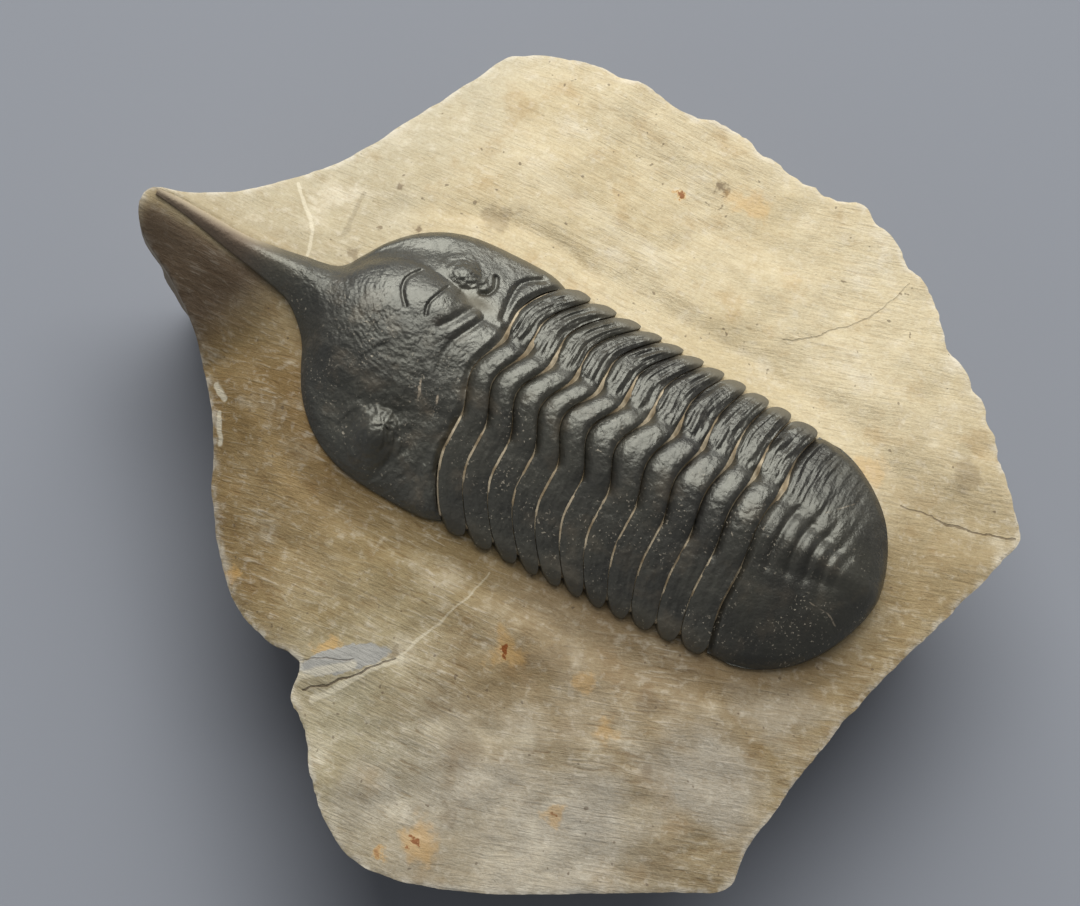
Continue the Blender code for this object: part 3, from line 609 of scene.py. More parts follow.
def make_stone_material():
    material = bpy.data.materials.new("buff_limestone")
    material.use_nodes = True
    tree = material.node_tree
    shader = tree.nodes["Principled BSDF"]
    where = add_node(tree, "ShaderNodeTexCoord").outputs["Object"]
    blotch = noise_node(tree, where, 62.0, 5.0, 0.62)
    cloud = noise_node(tree, where, 190.0, 5.0, 0.62)
    sway = math_node(tree, "MULTIPLY_ADD", blotch, 0.016, -0.008)
    split = add_node(tree, "ShaderNodeSeparateXYZ", {0: where})
    side_way = math_node(tree, "ADD", split.outputs["Y"], sway)
    long_way = math_node(tree, "ADD", split.outputs["X"], sway)
    near = remap(tree, side_way, 0.013, -0.007)
    low = remap(tree, side_way, -0.014, -0.030)
    left = math_node(tree, "MULTIPLY", near, remap(tree, long_way, -0.006, -0.022))
    rear = math_node(tree, "MULTIPLY", remap(tree, long_way, 0.022, 0.040), remap(tree, side_way, 0.030, 0.008))
    # painted light and shade, partly the stone's own tone: buff on the far side, darker brown on the near side, darker
    # still near the left beside the head
    base = mix_colour(tree, near, (0.72, 0.615, 0.40, 1.0), (0.43, 0.335, 0.20, 1.0))
    base = tinted(tree, base, low, 0.85, (0.515, 0.465, 0.365))
    base = tinted(tree, base, left, 0.8, (0.39, 0.275, 0.145))
    base = tinted(tree, base, rear, 0.95, (0.38, 0.285, 0.145))
    ahead = remap(tree, long_way, -0.013, -0.026)
    base = tinted(tree, base, ahead, remap(tree, near, 0.0, 1.0, 0.8, 0.0), (0.80, 0.84, 0.92), "MULTIPLY")
    yellow = math_node(tree, "MULTIPLY", near, remap(tree, long_way, 0.010, -0.006))
    base = tinted(tree, base, yellow, 0.8, (0.96, 0.95, 0.78), "MULTIPLY")
    patches = math_node(tree, "MULTIPLY", remap(tree, blotch, 0.46, 0.60), remap(tree, low, 0.0, 1.0, 1.0, 0.6))
    base = tinted(tree, base, patches, remap(tree, near, 0.0, 1.0, 0.24, 0.60), (0.68, 0.60, 0.42), "MULTIPLY")
    pale = highest(tree, spot_masks(tree, where, PALE_PATCHES))
    base = mix_colour(tree, pale, base, (0.52, 0.475, 0.385, 1.0))
    base = tinted(tree, base, remap(tree, cloud, 0.52, 0.72), remap(tree, near, 0.0, 1.0, 0.55, 0.35),
                  (0.86, 0.78, 0.60))
    base = tinted(tree, base, remap(tree, cloud, 0.46, 0.30), 0.45, (0.74, 0.60, 0.42), "MULTIPLY")
    # painted shade: dark brown on the prow's near face, and weaker on the broken sides and underside
    prow = add_node(tree, "ShaderNodeAttribute", attribute_name="prow_shade").outputs["Fac"]
    base = mix_colour(tree, prow, base, (0.135, 0.092, 0.060, 1.0))
    # painted shade: the stone darkened round the fossil, most on its near side, and in the scar's trough
    painted_shade_round_fossil = add_node(tree, "ShaderNodeAttribute", attribute_name="painted_shade_round_fossil").outputs["Fac"]
    base = tinted(tree, base, painted_shade_round_fossil, 0.6, (0.64, 0.55, 0.42), "MULTIPLY")
    lines = strokes(tree, where, math.radians(3.0), 2900.0, 420.0)
    short = strokes(tree, where, math.radians(19.0), 2400.0, 330.0)
    turned = remap(tree, long_way, 0.002, 0.016)
    stroke = add_node(tree, "ShaderNodeMix", {0: turned, 2: lines, 3: short}).outputs[0]
    worn = remap(tree, noise_node(tree, where, 90.0, 3.0), 0.38, 0.62, 0.25, 1.0)
    worn = math_node(tree, "MULTIPLY", worn, remap(tree, near, 0.0, 1.0, 0.55, 1.0))
    base = tinted(tree, base, remap(tree, stroke, 0.46, 0.34), math_node(tree, "MULTIPLY", worn, 0.55),
                  (0.60, 0.50, 0.38), "MULTIPLY")
    base = tinted(tree, base, remap(tree, stroke, 0.54, 0.68), math_node(tree, "MULTIPLY", worn, 0.34),
                  (0.88, 0.80, 0.64))
    grain = group_node(tree, FINE_GRAIN, {"Vector": where, "Coarse Scale": 900.0, "Fine Scale": 3600.0,
                                          "Fine Share": 0.55})
    base = tinted(tree, base, grain.outputs["Mask"], 0.30, (0.66, 0.56, 0.44), "MULTIPLY")
    crumbs = remap(tree, noise_node(tree, where, 1100.0, 4.0, 0.6), 0.52, 0.72)
    base = tinted(tree, base, crumbs, math_node(tree, "MULTIPLY_ADD", prow, -0.22, 0.24), (0.88, 0.81, 0.66))
    dots = remap(tree, noise_node(tree, where, 1500.0, 1.0, 0.4), 0.74, 0.79)
    base = tinted(tree, base, dots, 0.6, (0.13, 0.09, 0.055))
    stains = highest(tree, spot_masks(tree, where, BROWN_STAINS))
    base = mix_colour(tree, stains, base, (0.20, 0.14, 0.08, 1.0))
    rust = highest(tree, spot_masks(tree, where, RUST_SPOTS))
    rusty = mix_colour(tree, remap(tree, rust, 0.45, 0.95), (0.72, 0.42, 0.13, 1.0), (0.27, 0.085, 0.02, 1.0))
    base = mix_colour(tree, rust, base, rusty)
    base = mix_colour(tree, lens_mask(tree, where), base, (0.42, 0.405, 0.36, 1.0))
    veins = highest(tree, line_masks(tree, where, VEINS, 0.0014))
    base = mix_colour(tree, veins, base, (0.82, 0.74, 0.55, 1.0))
    cracks = highest(tree, line_masks(tree, where, CRACKS, 0.0022))
    base = mix_colour(tree, math_node(tree, "MULTIPLY", cracks, 0.8), base, (0.10, 0.065, 0.035, 1.0))
    side = add_node(tree, "ShaderNodeAttribute", attribute_name="broken_side").outputs["Fac"]
    base = tinted(tree, base, side, 0.7, (0.30, 0.25, 0.19))
    edge = add_node(tree, "ShaderNodeAttribute", attribute_name="pale_edge").outputs["Fac"]
    frayed = math_node(tree, "MULTIPLY", edge, remap(tree, noise_node(tree, where, 700.0), 0.42, 0.60, 0.1, 1.0))
    base = tinted(tree, base, frayed, 0.6, (0.80, 0.74, 0.61))
    tree.links.new(base, shader.inputs["Base Color"])
    tree.links.new(remap(tree, cloud, 0.3, 0.7, 0.74, 0.92), shader.inputs["Roughness"])
    shader.inputs["Specular IOR Level"].default_value = 0.3
    height = math_node(tree, "MULTIPLY_ADD", stroke, 0.9, math_node(tree, "MULTIPLY", grain.outputs["Height"], 0.6))
    height = math_node(tree, "SUBTRACT", height, math_node(tree, "MULTIPLY", cracks, 1.0))
    bump = add_node(tree, "ShaderNodeBump", {"Strength": 0.6, "Distance": 0.00025, "Height": height})
    tree.links.new(bump.outputs[0], shader.inputs["Normal"])
    return material


STONE = make_stone_material()
print("stone finish ready")

# %% [markdown]
# ## The stone
# A ball with many rings is the start: its upper rings become the worked face, its middle rings the broken
# sides and its lower rings the sawn base, so the body is closed from the first step. Each spoke of the ball is
# stretched to the rim read from the photo. The face is then carved by formula, because its slopes, trough and
# ledges have to meet the fossil's plates exactly.

# %% The stone's face
SCAR = ((-18.6, 18.0), (-13.9, 20.2), (-8.2, 20.9), (-3.4, 19.6))
SCAR_DEPTH = 0.17
SCAR_WIDTH = 0.7


def scar_distance(x, y):
    return distance(x, y, curve_through(list(SCAR), 1.0, False)) / SCAR_WIDTH


def stone_top(x, y):
    """Height of the stone's worked upper side, and how far each place is from the fossil."""
    away = np.where(inside(x, y, FOOTPRINT), 0.0, distance(x, y, FOOTPRINT, closed=True))
    gone = np.maximum(away - 0.5, 0.0)
    near = NEAR_FALL[0] + (NEAR_FALL[1] - NEAR_FALL[0]) * ramp(x, *FALL_CHANGE)
    far = FAR_FALL[0] + (FAR_FALL[1] - FAR_FALL[0]) * ramp(x, *FALL_CHANGE)
    slope = near + (far - near) * ramp(y - AXIS_Y, -2.0, 2.0)
    fall = slope * (np.hypot(gone, FALL_START) - FALL_START)
    moat = MOAT_DEPTH * np.exp(-((gone - MOAT_AT) / MOAT_WIDTH) ** 2) * ramp(x, -30.0, -20.0)
    relief = LUMP * (lump(x, y, LUMP_SIZE, 3.1) - 0.35) * ramp(gone, 0.0, 6.0)
    bed = (JOINT_GAP - 0.02) * (1.0 - ramp(away, 0.0, 0.8))
    scrape = 0.13 * lump(x, y, 3.2, 14.0, 4) * ramp(gone, 0.3, 2.0)
    lip = 0.35 * np.exp(-((away - 0.4) / 0.6) ** 2) * ramp(-x, 28.0, 33.0) * ramp(y - mid_line(x), -0.2, 0.6)
    scar = SCAR_DEPTH * np.exp(-scar_distance(x, y) ** 2)
    return face_level(x) - fall - moat + relief + bed + scrape + lip - scar, away


STONE_SPOKES = 640
STONE_RINGS = 150
FACE_RINGS = 112
WALL_RINGS = 26
HIDDEN_RINGS = 6
HIDDEN_SHARE = 0.22
EDGE_CHIP_AT = (-180, -118, -110, -94, -88, -40, -34, 14, 22, 60, 96, 112, 125, 172, 180)
EDGE_CHIP = (0.10, 0.14, 0.40, 0.38, 0.14, 0.14, 0.16, 0.16, 0.30, 0.40, 0.40, 0.20, 0.10, 0.05, 0.06)
EDGE_CHIP_SIZE = 2.4
EDGE_ROLL = 0.14
EDGE_ROLL_WIDTH = 0.16
WALL_ROUGH = 0.9


def rim_radius(angle):
    """Distance of the rim from the middle in each direction."""
    line = np.array(curve_through(list(RIM_POINTS), 0.5, True))
    angles = np.arctan2(line[:, 1], line[:, 0])
    order = np.argsort(angles)
    return np.interp(angle, angles[order], np.hypot(line[:, 0], line[:, 1])[order], period=2 * math.pi)


def make_stone():
    deselect()
    bpy.ops.mesh.primitive_uv_sphere_add(segments=STONE_SPOKES, ring_count=STONE_RINGS, radius=1.0)
    stone = bpy.context.object
    stone.name = stone.data.name = "limestone_slab"
    ball = read_points(stone)
    ring = np.rint(np.arccos(np.clip(ball[:, 2], -1.0, 1.0)) / math.pi * STONE_RINGS).astype(int)
    angle = np.arctan2(ball[:, 1], ball[:, 0])
    turn = np.column_stack((np.cos(angle), np.sin(angle)))
    rim = rim_radius(angle)
    chips = np.array([noise.fractal((c * r / EDGE_CHIP_SIZE, s * r / EDGE_CHIP_SIZE, 5.0), 1.0, 2.0, 4)
                      for (c, s), r in zip(turn, rim)])
    rim = rim - np.interp(np.degrees(angle), EDGE_CHIP_AT, EDGE_CHIP) * np.clip(0.4 + 1.3 * chips, 0.0, 1.8)
    share = np.where(ring <= HIDDEN_RINGS, HIDDEN_SHARE * ring / HIDDEN_RINGS,
                     HIDDEN_SHARE + (1 - HIDDEN_SHARE) * (ring - HIDDEN_RINGS) / (FACE_RINGS - HIDDEN_RINGS))
    share = np.clip(share, 0.0, 1.0)
    share = 1.0 - (1.0 - share) * (0.6 + 0.4 * (1.0 - share))
    radius = rim * share
    x, y = turn[:, 0] * radius, turn[:, 1] * radius
    z, away = stone_top(x, y)
    to_edge = rim - radius
    z = z - EDGE_ROLL * np.exp(-to_edge / EDGE_ROLL_WIDTH) * (0.7 + 0.9 * np.clip(chips, -0.5, 0.8))
    rim_z = np.zeros_like(z)
    edge = ring == FACE_RINGS
    order = np.argsort(angle[edge])
    rim_z = np.interp(angle, angle[edge][order], z[edge][order], period=2 * math.pi)
    down = np.clip((ring - FACE_RINGS) / WALL_RINGS, 0.0, 1.0)
    wall = (ring > FACE_RINGS) & (ring <= FACE_RINGS + WALL_RINGS)
    shares = [1.0 - s for _, s in WALL_LEVELS]
    inset = np.interp(down, shares, [i for i, _ in WALL_LEVELS])
    low = rim_z * (1.0 - down)
    spots = np.column_stack((turn * (rim - inset)[:, None], low))
    rough = np.where(wall, WALL_ROUGH * lump3(spots, 5.0, 2.0, 5) * np.minimum(1.0, inset / 1.5), 0.0)
    under = ring > FACE_RINGS + WALL_RINGS
    base_share = np.clip((STONE_RINGS - ring) / (STONE_RINGS - FACE_RINGS - WALL_RINGS), 0.0, 1.0)
    radius = np.where(wall, rim - inset + rough, radius)
    foot = (rim - WALL_LEVELS[-1][0])
    radius = np.where(under, foot * base_share, radius)
    z = np.where(wall, low, z)
    z = np.where(under, 0.0, z)
    points = np.column_stack((turn * radius[:, None], z))
    write_points(stone, points * MM)
    x, y = points[:, 0], points[:, 1]
    # prow_shade is painted shade: full on the prow's near face, a weaker share on the broken sides and underside
    below = mid_line(x) - 0.6 - y
    prow = ramp(-x - 0.5 * below, 26.5, 32.5) * ramp(below, 0.0, 1.2)
    tip = ramp(-x, 43.2, 44.6)
    add_values(stone, "prow_shade", np.where(wall | under, 0.35, 0.88 * prow * (1.0 - 0.5 * tip)))
    near = ramp(AXIS_Y - y, 4.0, 9.0)
    # painted shade round the fossil, strongest on its near side, and in the scar
    painted_shade = np.exp(-(away / 3.2) ** 2) * (0.12 + 0.88 * near) + 0.15 * np.exp(-scar_distance(x, y) ** 2)
    add_values(stone, "painted_shade_round_fossil", np.where(wall | under, 0.0, painted_shade))
    add_values(stone, "broken_side", np.where(wall | under, 1.0, 0.0))
    pale = np.exp(-(to_edge / 0.5) ** 2) * (1.0 - 0.7 * prow)
    add_values(stone, "pale_edge", np.where(wall | under, 0.9 * np.exp(-down / 0.06), pale))
    finish_piece(stone, ["matrix"], STONE, 40.0)
    return stone


slab = make_stone()

# %% [markdown]
# ## The shell's finish
# The plates are black calcite with a satin sheen. Under the light they look charcoal, with an olive tone on
# the far side, fine pits and wrinkles, and white specks of stone left in the hollows. Sediment on the head and the
# tail is painted along given lines.

# %% Shell material
HEAD_FILLS = (
    ((-13.1, 1.1), (-12.3, -1.4), 0.20, 0.8), ((-11.1, 0.8), (-10.5, -1.2), 0.20, 0.8),
    ((-12.4, -1.2), (-10.9, -1.5), 0.6, 0.3),
)
TAIL_FILLS = (((29.1, -0.2), (32.6, -0.6), 0.08, 0.35), ((26.6, 8.4), (29.0, 11.1), 0.09, 0.30))


def make_shell_material(name, wrinkle, gleam, dirt, fills=()):
    material = bpy.data.materials.new(name)
    material.use_nodes = True
    tree = material.node_tree
    shader = tree.nodes["Principled BSDF"]
    where = add_node(tree, "ShaderNodeTexCoord").outputs["Object"]
    tone = noise_node(tree, where, 120.0, 4.0)
    base = mix_colour(tree, remap(tree, tone, 0.35, 0.65), (0.018, 0.016, 0.014, 1.0), (0.041, 0.038, 0.029, 1.0))
    grain = group_node(tree, FINE_GRAIN, {"Vector": where, "Coarse Scale": 900.0, "Fine Scale": 3500.0,
                                          "Fine Share": 0.45})
    across = add_node(tree, "ShaderNodeSeparateXYZ", {0: where}).outputs["Y"]
    dusty = remap(tree, across, 0.009, 0.001, 0.12, 1.0)
    fields = remap(tree, noise_node(tree, where, 260.0, 3.0), 0.42, 0.62)
    specks = remap(tree, noise_node(tree, where, 3600.0, 2.0, 0.55), 0.63, 0.69)
    speck = math_node(tree, "MULTIPLY", math_node(tree, "MULTIPLY", specks, fields), dusty)
    base = mix_colour(tree, math_node(tree, "MULTIPLY", speck, 0.7), base, (0.46, 0.40, 0.30, 1.0))
    film = math_node(tree, "MULTIPLY", remap(tree, noise_node(tree, where, 330.0, 4.0), 0.50, 0.72), dusty)
    base = mix_colour(tree, math_node(tree, "MULTIPLY", film, dirt), base, (0.17, 0.130, 0.085, 1.0))
    if fills:
        filled = highest(tree, line_masks(tree, where, fills, 0.0018))
        filled = math_node(tree, "MULTIPLY", filled, remap(tree, noise_node(tree, where, 1300.0, 3.0), 0.42, 0.58))
        base = mix_colour(tree, filled, base, (0.50, 0.40, 0.28, 1.0))
    worn = add_node(tree, "ShaderNodeAttribute", attribute_name="worn").outputs["Fac"]
    patchy = math_node(tree, "MULTIPLY", worn, remap(tree, tone, 0.30, 0.55, 0.55, 1.0))
    base = mix_colour(tree, patchy, base, (0.125, 0.105, 0.068, 1.0))
    stone = add_node(tree, "ShaderNodeAttribute", attribute_name="stony").outputs["Fac"]
    # the stone left on the snout: dark brown on its near side and pale buff on its far crest, partly its own colour
    # and partly painted shade and highlight
    snout_stone_lit_and_shaded = mix_colour(tree, remap(tree, across, 0.0050, 0.0062), (0.15, 0.098, 0.06, 1.0), (0.46, 0.37, 0.24, 1.0))
    base = mix_colour(tree, stone, base, snout_stone_lit_and_shaded)
    tree.links.new(base, shader.inputs["Base Color"])
    gloss = remap(tree, grain.outputs["Height"], 0.3, 0.7, 0.22, 0.40)
    rough_skin = add_node(tree, "ShaderNodeAttribute", attribute_name="rough_skin").outputs["Fac"]
    soft = math_node(tree, "MULTIPLY_ADD", rough_skin, 0.16, gloss)
    soft = math_node(tree, "ADD", soft, remap(tree, across, 0.0062, 0.0008, 0.0, 0.14))
    dull = math_node(tree, "MAXIMUM", soft, math_node(tree, "MULTIPLY", highest(tree, [stone, worn, speck]), 0.8))
    tree.links.new(dull, shader.inputs["Roughness"])
    shader.inputs["Specular IOR Level"].default_value = gleam
    shader.inputs["IOR"].default_value = 1.66
    shader.inputs["Specular Tint"].default_value = (1.0, 1.0, 0.86, 1.0)
    creases = noise_node(tree, where, 600.0, 5.0, 0.65)
    height = math_node(tree, "MULTIPLY_ADD", creases, wrinkle, grain.outputs["Height"])
    strength = math_node(tree, "MULTIPLY_ADD", rough_skin, 0.35, 0.5)
    bump = add_node(tree, "ShaderNodeBump", {"Strength": strength, "Distance": 0.0002, "Height": height})
    tree.links.new(bump.outputs[0], shader.inputs["Normal"])
    return material


HEAD_SHELL = make_shell_material("head_shell", 1.6, 0.85, 0.42, HEAD_FILLS)
BODY_SHELL = make_shell_material("body_shell", 1.1, 0.70, 0.28)
TAIL_SHELL = make_shell_material("tail_shell", 1.0, 0.58, 0.20, TAIL_FILLS)
print("shell finishes ready")

# %% [markdown]
# ## Plates from a sheet
# Every plate starts as a flat grid. The sheet is laid on the plate's plan and raised by that plate's own
# height formula, and its open edge is then pulled down to the stone and closed underneath in edit mode.

# %% Close a raised sheet into a solid plate
EDGE_TUCK = 0.985


def close_below(obj, level):
    """Pull the sheet's open edge down to the stone and fill the underside."""
    bpy.context.view_layer.objects.active = obj
    bpy.ops.object.mode_set(mode="EDIT")
    bpy.ops.mesh.select_all(action="SELECT")
    bpy.ops.mesh.region_to_loop()
    bpy.ops.mesh.extrude_edges_move(TRANSFORM_OT_translate={"value": (0.0, 0.0, -RIM * MM / 2)})
    bpy.ops.object.mode_set(mode="OBJECT")
    points = read_points(obj)
    chosen = selected_points(obj)
    points[chosen, 2] = level(points[chosen, 0] / MM) * MM
    write_points(obj, points)
    bpy.ops.object.mode_set(mode="EDIT")
    bpy.ops.mesh.edge_face_add()
    bpy.ops.object.mode_set(mode="OBJECT")


def raise_sheet(name, along, across, place):
    """A grid whose vertices go where place(s, t) says; returns it with s, t and the placed points."""
    deselect()
    bpy.ops.mesh.primitive_grid_add(x_subdivisions=int(along * DETAIL), y_subdivisions=int(across * DETAIL),
                                    size=2.0)
    sheet = bpy.context.object
    sheet.name = sheet.data.name = name
    flat = read_points(sheet)
    s, t = (flat[:, 0] + 1.0) / 2.0, flat[:, 1]
    x, y, z, values = place(s, t)
    write_points(sheet, np.column_stack((x, y, z)) * MM)
    for label, value in values.items():
        add_values(sheet, label, value)
    return sheet


def plate_floor(x):
    return face_level(x) + JOINT_GAP


print("plate helpers ready")


# %% Relief shared by the body's plates
def arch(w, half):
    return np.cos(np.clip(w / half, 0.0, 1.0) * math.pi / 2)


def lobe_relief(w, near):
    swell = LOBE_RISE * np.clip(1.0 - (w / LOBE_EDGE) ** 2, 0.0, 1.0) ** 2
    return swell - LOBE_GROOVE * (1.0 - near) * np.exp(-((w - LOBE_HALF) / 0.7) ** 2)


def rounded_edge(room):
    """How far a plate's upper side falls where little room is left to its margin."""
    return RIM_DROP * (1.0 - np.clip(room / RIM_ROUND, 0.0, 1.0)) ** 2


CROWN_AT = 0.60
RING_FALL = (0.75, 0.40)
RIB_FALL = (0.50, 0.34)
CROWN_RISE = 0.22
CUSHION_POWER = (3.0, 2.8)
NEAR_FLAT = 0.75
NEAR_BODY = (1.0, 4.5)
PIT_DEPTH = 0.35


def segment_relief(s, w, near):
    """One segment's cushion: s runs from its front edge (0) to its rear edge (1); near is 1 on the near flank."""
    rib = ramp(w, LOBE_HALF - 0.7, LOBE_HALF + 0.7)
    front = RING_FALL[0] + (RIB_FALL[0] - RING_FALL[0]) * rib
    rear = RING_FALL[1] + (RIB_FALL[1] - RING_FALL[1]) * rib
    ahead = np.clip(1.0 - s / CROWN_AT, 0.0, 1.0)
    behind = np.clip((s - CROWN_AT) / (1.0 - CROWN_AT), 0.0, 1.0)
    fall = front * ahead ** CUSHION_POWER[0] + rear * behind ** CUSHION_POWER[1]
    cushion = CROWN_RISE * (1.0 - 0.5 * rib) - fall
    pit = np.exp(-((w - LOBE_HALF) / 0.8) ** 2) * (1.0 - ramp(s, 0.05, 0.38)) * (1.0 - near)
    return cushion * (1.0 - NEAR_FLAT * near * rib) - PIT_DEPTH * pit


VISIBLE_GAP = 0.10


def segment_place(k, s, w):
    half = body_half(joint(k, FULCRUM) + 1.3)
    end = np.clip((w - (half - TIP_ROUND)) / TIP_ROUND, 0.0, 1.0)
    cut = 1.0 - np.sqrt(1.0 - 0.985 * end ** 2)
    front = joint(k, w) + VISIBLE_GAP / 2
    rear = joint(k + 1, w) - VISIBLE_GAP / 2
    length = rear - front
    front = front + TIP_CUT * cut * length
    rear = rear - TIP_CUT * cut * length
    return front + s * (rear - front)


def segment_height(k, s, w, near):
    half = body_half(joint(k, FULCRUM) + 1.3)
    crest = CREST - 0.35 * ramp(k + 0.0 * w, 6.0, 10.0)
    edge = ramp(half - w, -0.4, 1.8)
    vault = RIM - rounded_edge(half - w) + crest * arch(w, half)
    return vault + lobe_relief(w, near) + segment_relief(s, w, near) * edge


SEGMENT_ROWS = 44
SEGMENT_ACROSS = 320
RIB_WRINKLE = 0.19
RIB_RIDGES = 2.3
SKIN_WRINKLE = 0.04
RIB_FURROW = 0.06


def make_segment(k):
    half = float(body_half(joint(k, FULCRUM) + 1.3))

    def place(s, t):
        w = np.abs(t) * half
        near = ramp(-t * half, *NEAR_BODY)
        x = segment_place(k, s, w)
        y = AXIS_Y + t * half
        rib = ramp(w, LOBE_HALF - 0.2, LOBE_HALF + 1.0) * (1.0 - ramp(w, 10.8, 12.6))
        far = ramp(t, -0.05, 0.30)
        sway = 0.16 * lump(y, 5.0 * k + 0.0 * y, 3.0, 4.0, 2)
        ridges = np.cos(2.0 * math.pi * (RIB_RIDGES * (s + sway) - 0.10 * (w - LOBE_HALF)))
        folds = 0.55 * ridges * (0.7 + 0.9 * lump(s * 1.5, y, 2.2, 9.0 + k, 2))
        folds = folds + 0.8 * lump(s * 4.0 + 7.0 * k, y / 7.0, 1.0, 4.0 + k, 3)
        dents = lump(x, y, 2.3, 8.0, 3)
        skin = lump(x, y, 0.6, 18.0, 2)
        slant = 0.30 + 0.32 * (w - LOBE_HALF) / (FULCRUM - LOBE_HALF)
        furrow = RIB_FURROW * np.exp(-((s - slant) / 0.10) ** 2) * rib * (1.0 - 0.6 * near)
        z = segment_height(k, s, w, near) - furrow + RIB_WRINKLE * folds * rib * (0.15 + 0.85 * far)
        z = z + 0.08 * dents * ramp(half - w, 0.5, 2.0) * (1.0 - 0.5 * near) + SKIN_WRINKLE * skin
        worn = ramp(w, half - 2.4, half - 0.5) * (0.35 + 0.65 * far)
        return x, y, plate_floor(x) + z, {"worn": 0.9 * worn, "stony": 0.0 * x}

    plate = raise_sheet(f"body_plate_{k + 1:02d}", SEGMENT_ROWS, SEGMENT_ACROSS, place)
    close_below(plate, plate_floor)
    finish_piece(plate, [f"thoracic_segment_{k + 1:02d}"], BODY_SHELL)
    return plate


segments = [make_segment(k) for k in range(SEGMENTS)]

# %% Head relief
HEAD_FURROWS = (
    (((-18.1, 6.6), (-18.9, 5.0), (-18.7, 3.5), (-17.7, 2.2)), 0.26, 0.20),
    (((-15.1, 6.2), (-15.5, 4.9), (-15.9, 3.4), (-15.6, 2.3)), 0.24, 0.17),
    (((-12.2, 5.3), (-13.0, 3.6), (-13.9, 2.1)), 0.28, 0.42),
    (((-11.4, 4.9), (-12.2, 3.4), (-13.1, 1.8)), -0.13, 0.40),
    (((-10.7, 5.0), (-11.4, 3.2), (-12.2, 1.4), (-12.4, 0.0)), 0.32, 0.36),
    (((-9.1, 6.2), (-9.4, 8.6), (-9.2, 10.8), (-7.6, 12.4)), 0.36, 0.36),
    (((-18.0, 7.6), (-16.5, 7.4), (-13.5, 6.7), (-11.0, 5.9)), 0.20, 0.65),
    (((-24.0, 6.0), (-22.0, 7.4), (-19.5, 8.6), (-17.5, 9.6)), 0.55, 1.25),
    (((-11.6, 10.0), (-11.2, 8.9), (-11.5, 7.9), (-12.1, 7.5)), 0.45, 0.25),
)
SIDE_LOBE = (-15.8, 4.3)
SIDE_LOBE_SIZE = (3.4, 2.8)
SIDE_LOBE_RISE = 0.35
EYE_FAR = ((-14.3, 8.6), (2.3, 2.0))
EYE_NEAR = ((-14.7, 9.9), (3.2, 3.6))
EYE_RISE = (0.7, 2.1)
EYE_BROW = 0.10
EYE_BROW_WIDTH = 0.14
NEAR_FAINT = 0.65


def oval(x, w, centre, size):
    """Distance from an oval's centre, 1 on its edge."""
    return np.hypot((x - centre[0]) / size[0], (w - centre[1]) / size[1])


def either(near, far_value, near_value):
    return far_value + (near_value - far_value) * near


def eye_relief(x, w, near):
    """The eye: a knob with a folded brow before it."""
    away = either(near, oval(x, w, *EYE_FAR), oval(x, w, *EYE_NEAR))
    rise = either(near, *EYE_RISE)
    knob = rise * 0.5 * (1.0 + np.cos(math.pi * np.clip(away, 0.0, 1.0)))
    ahead = ramp(EYE_FAR[0][0] - x, -0.5, 1.5) * ramp(w - EYE_FAR[0][1], -1.6, 0.0)
    brow = EYE_BROW * ahead * np.exp(-((away - 1.0) / EYE_BROW_WIDTH) ** 2)
    return knob + brow


def head_height(x, w, near):
    half = head_half(x)
    wide = ramp(x, -28.0, -24.5)
    rim = RIM * (0.22 + 0.78 * ramp(x, -40.0, -25.0)) - rounded_edge(half - w) * wide
    height = rim + np.interp(x, CREST_X, CREST_Z) * arch(w, half)
    lobe = np.interp(x, GLABELLA_X, GLABELLA_HALF)
    height = height + GLABELLA_RISE * np.clip(1.0 - (w / lobe) ** 5, 0.0, 1.0) * ramp(x, -26.0, -21.5)
    clear = 1.0 - NEAR_FAINT * near
    swell = np.clip(1.0 - oval(x, w, SIDE_LOBE, SIDE_LOBE_SIZE) ** 2, 0.0, 1.0) ** 2
    height = height + SIDE_LOBE_RISE * clear * swell + eye_relief(x, w, near)
    shallow = ramp(half - w, 0.0, 1.5) * clear
    for line, depth, width in HEAD_FURROWS:
        smooth = curve_through(list(line), 0.6, False)
        height = height - depth * np.exp(-(distance(x, w, smooth) / width) ** 2) * shallow
    rear_edge = ramp(joint(0, w) - x, 0.0, 0.9)
    return np.maximum(height - 0.45 * (1.0 - rear_edge) * ramp(half - w, 0.0, 1.5), 0.12)


HEAD_ROWS = 270
HEAD_ACROSS = 260
SNOUT_ROWS = 0.16


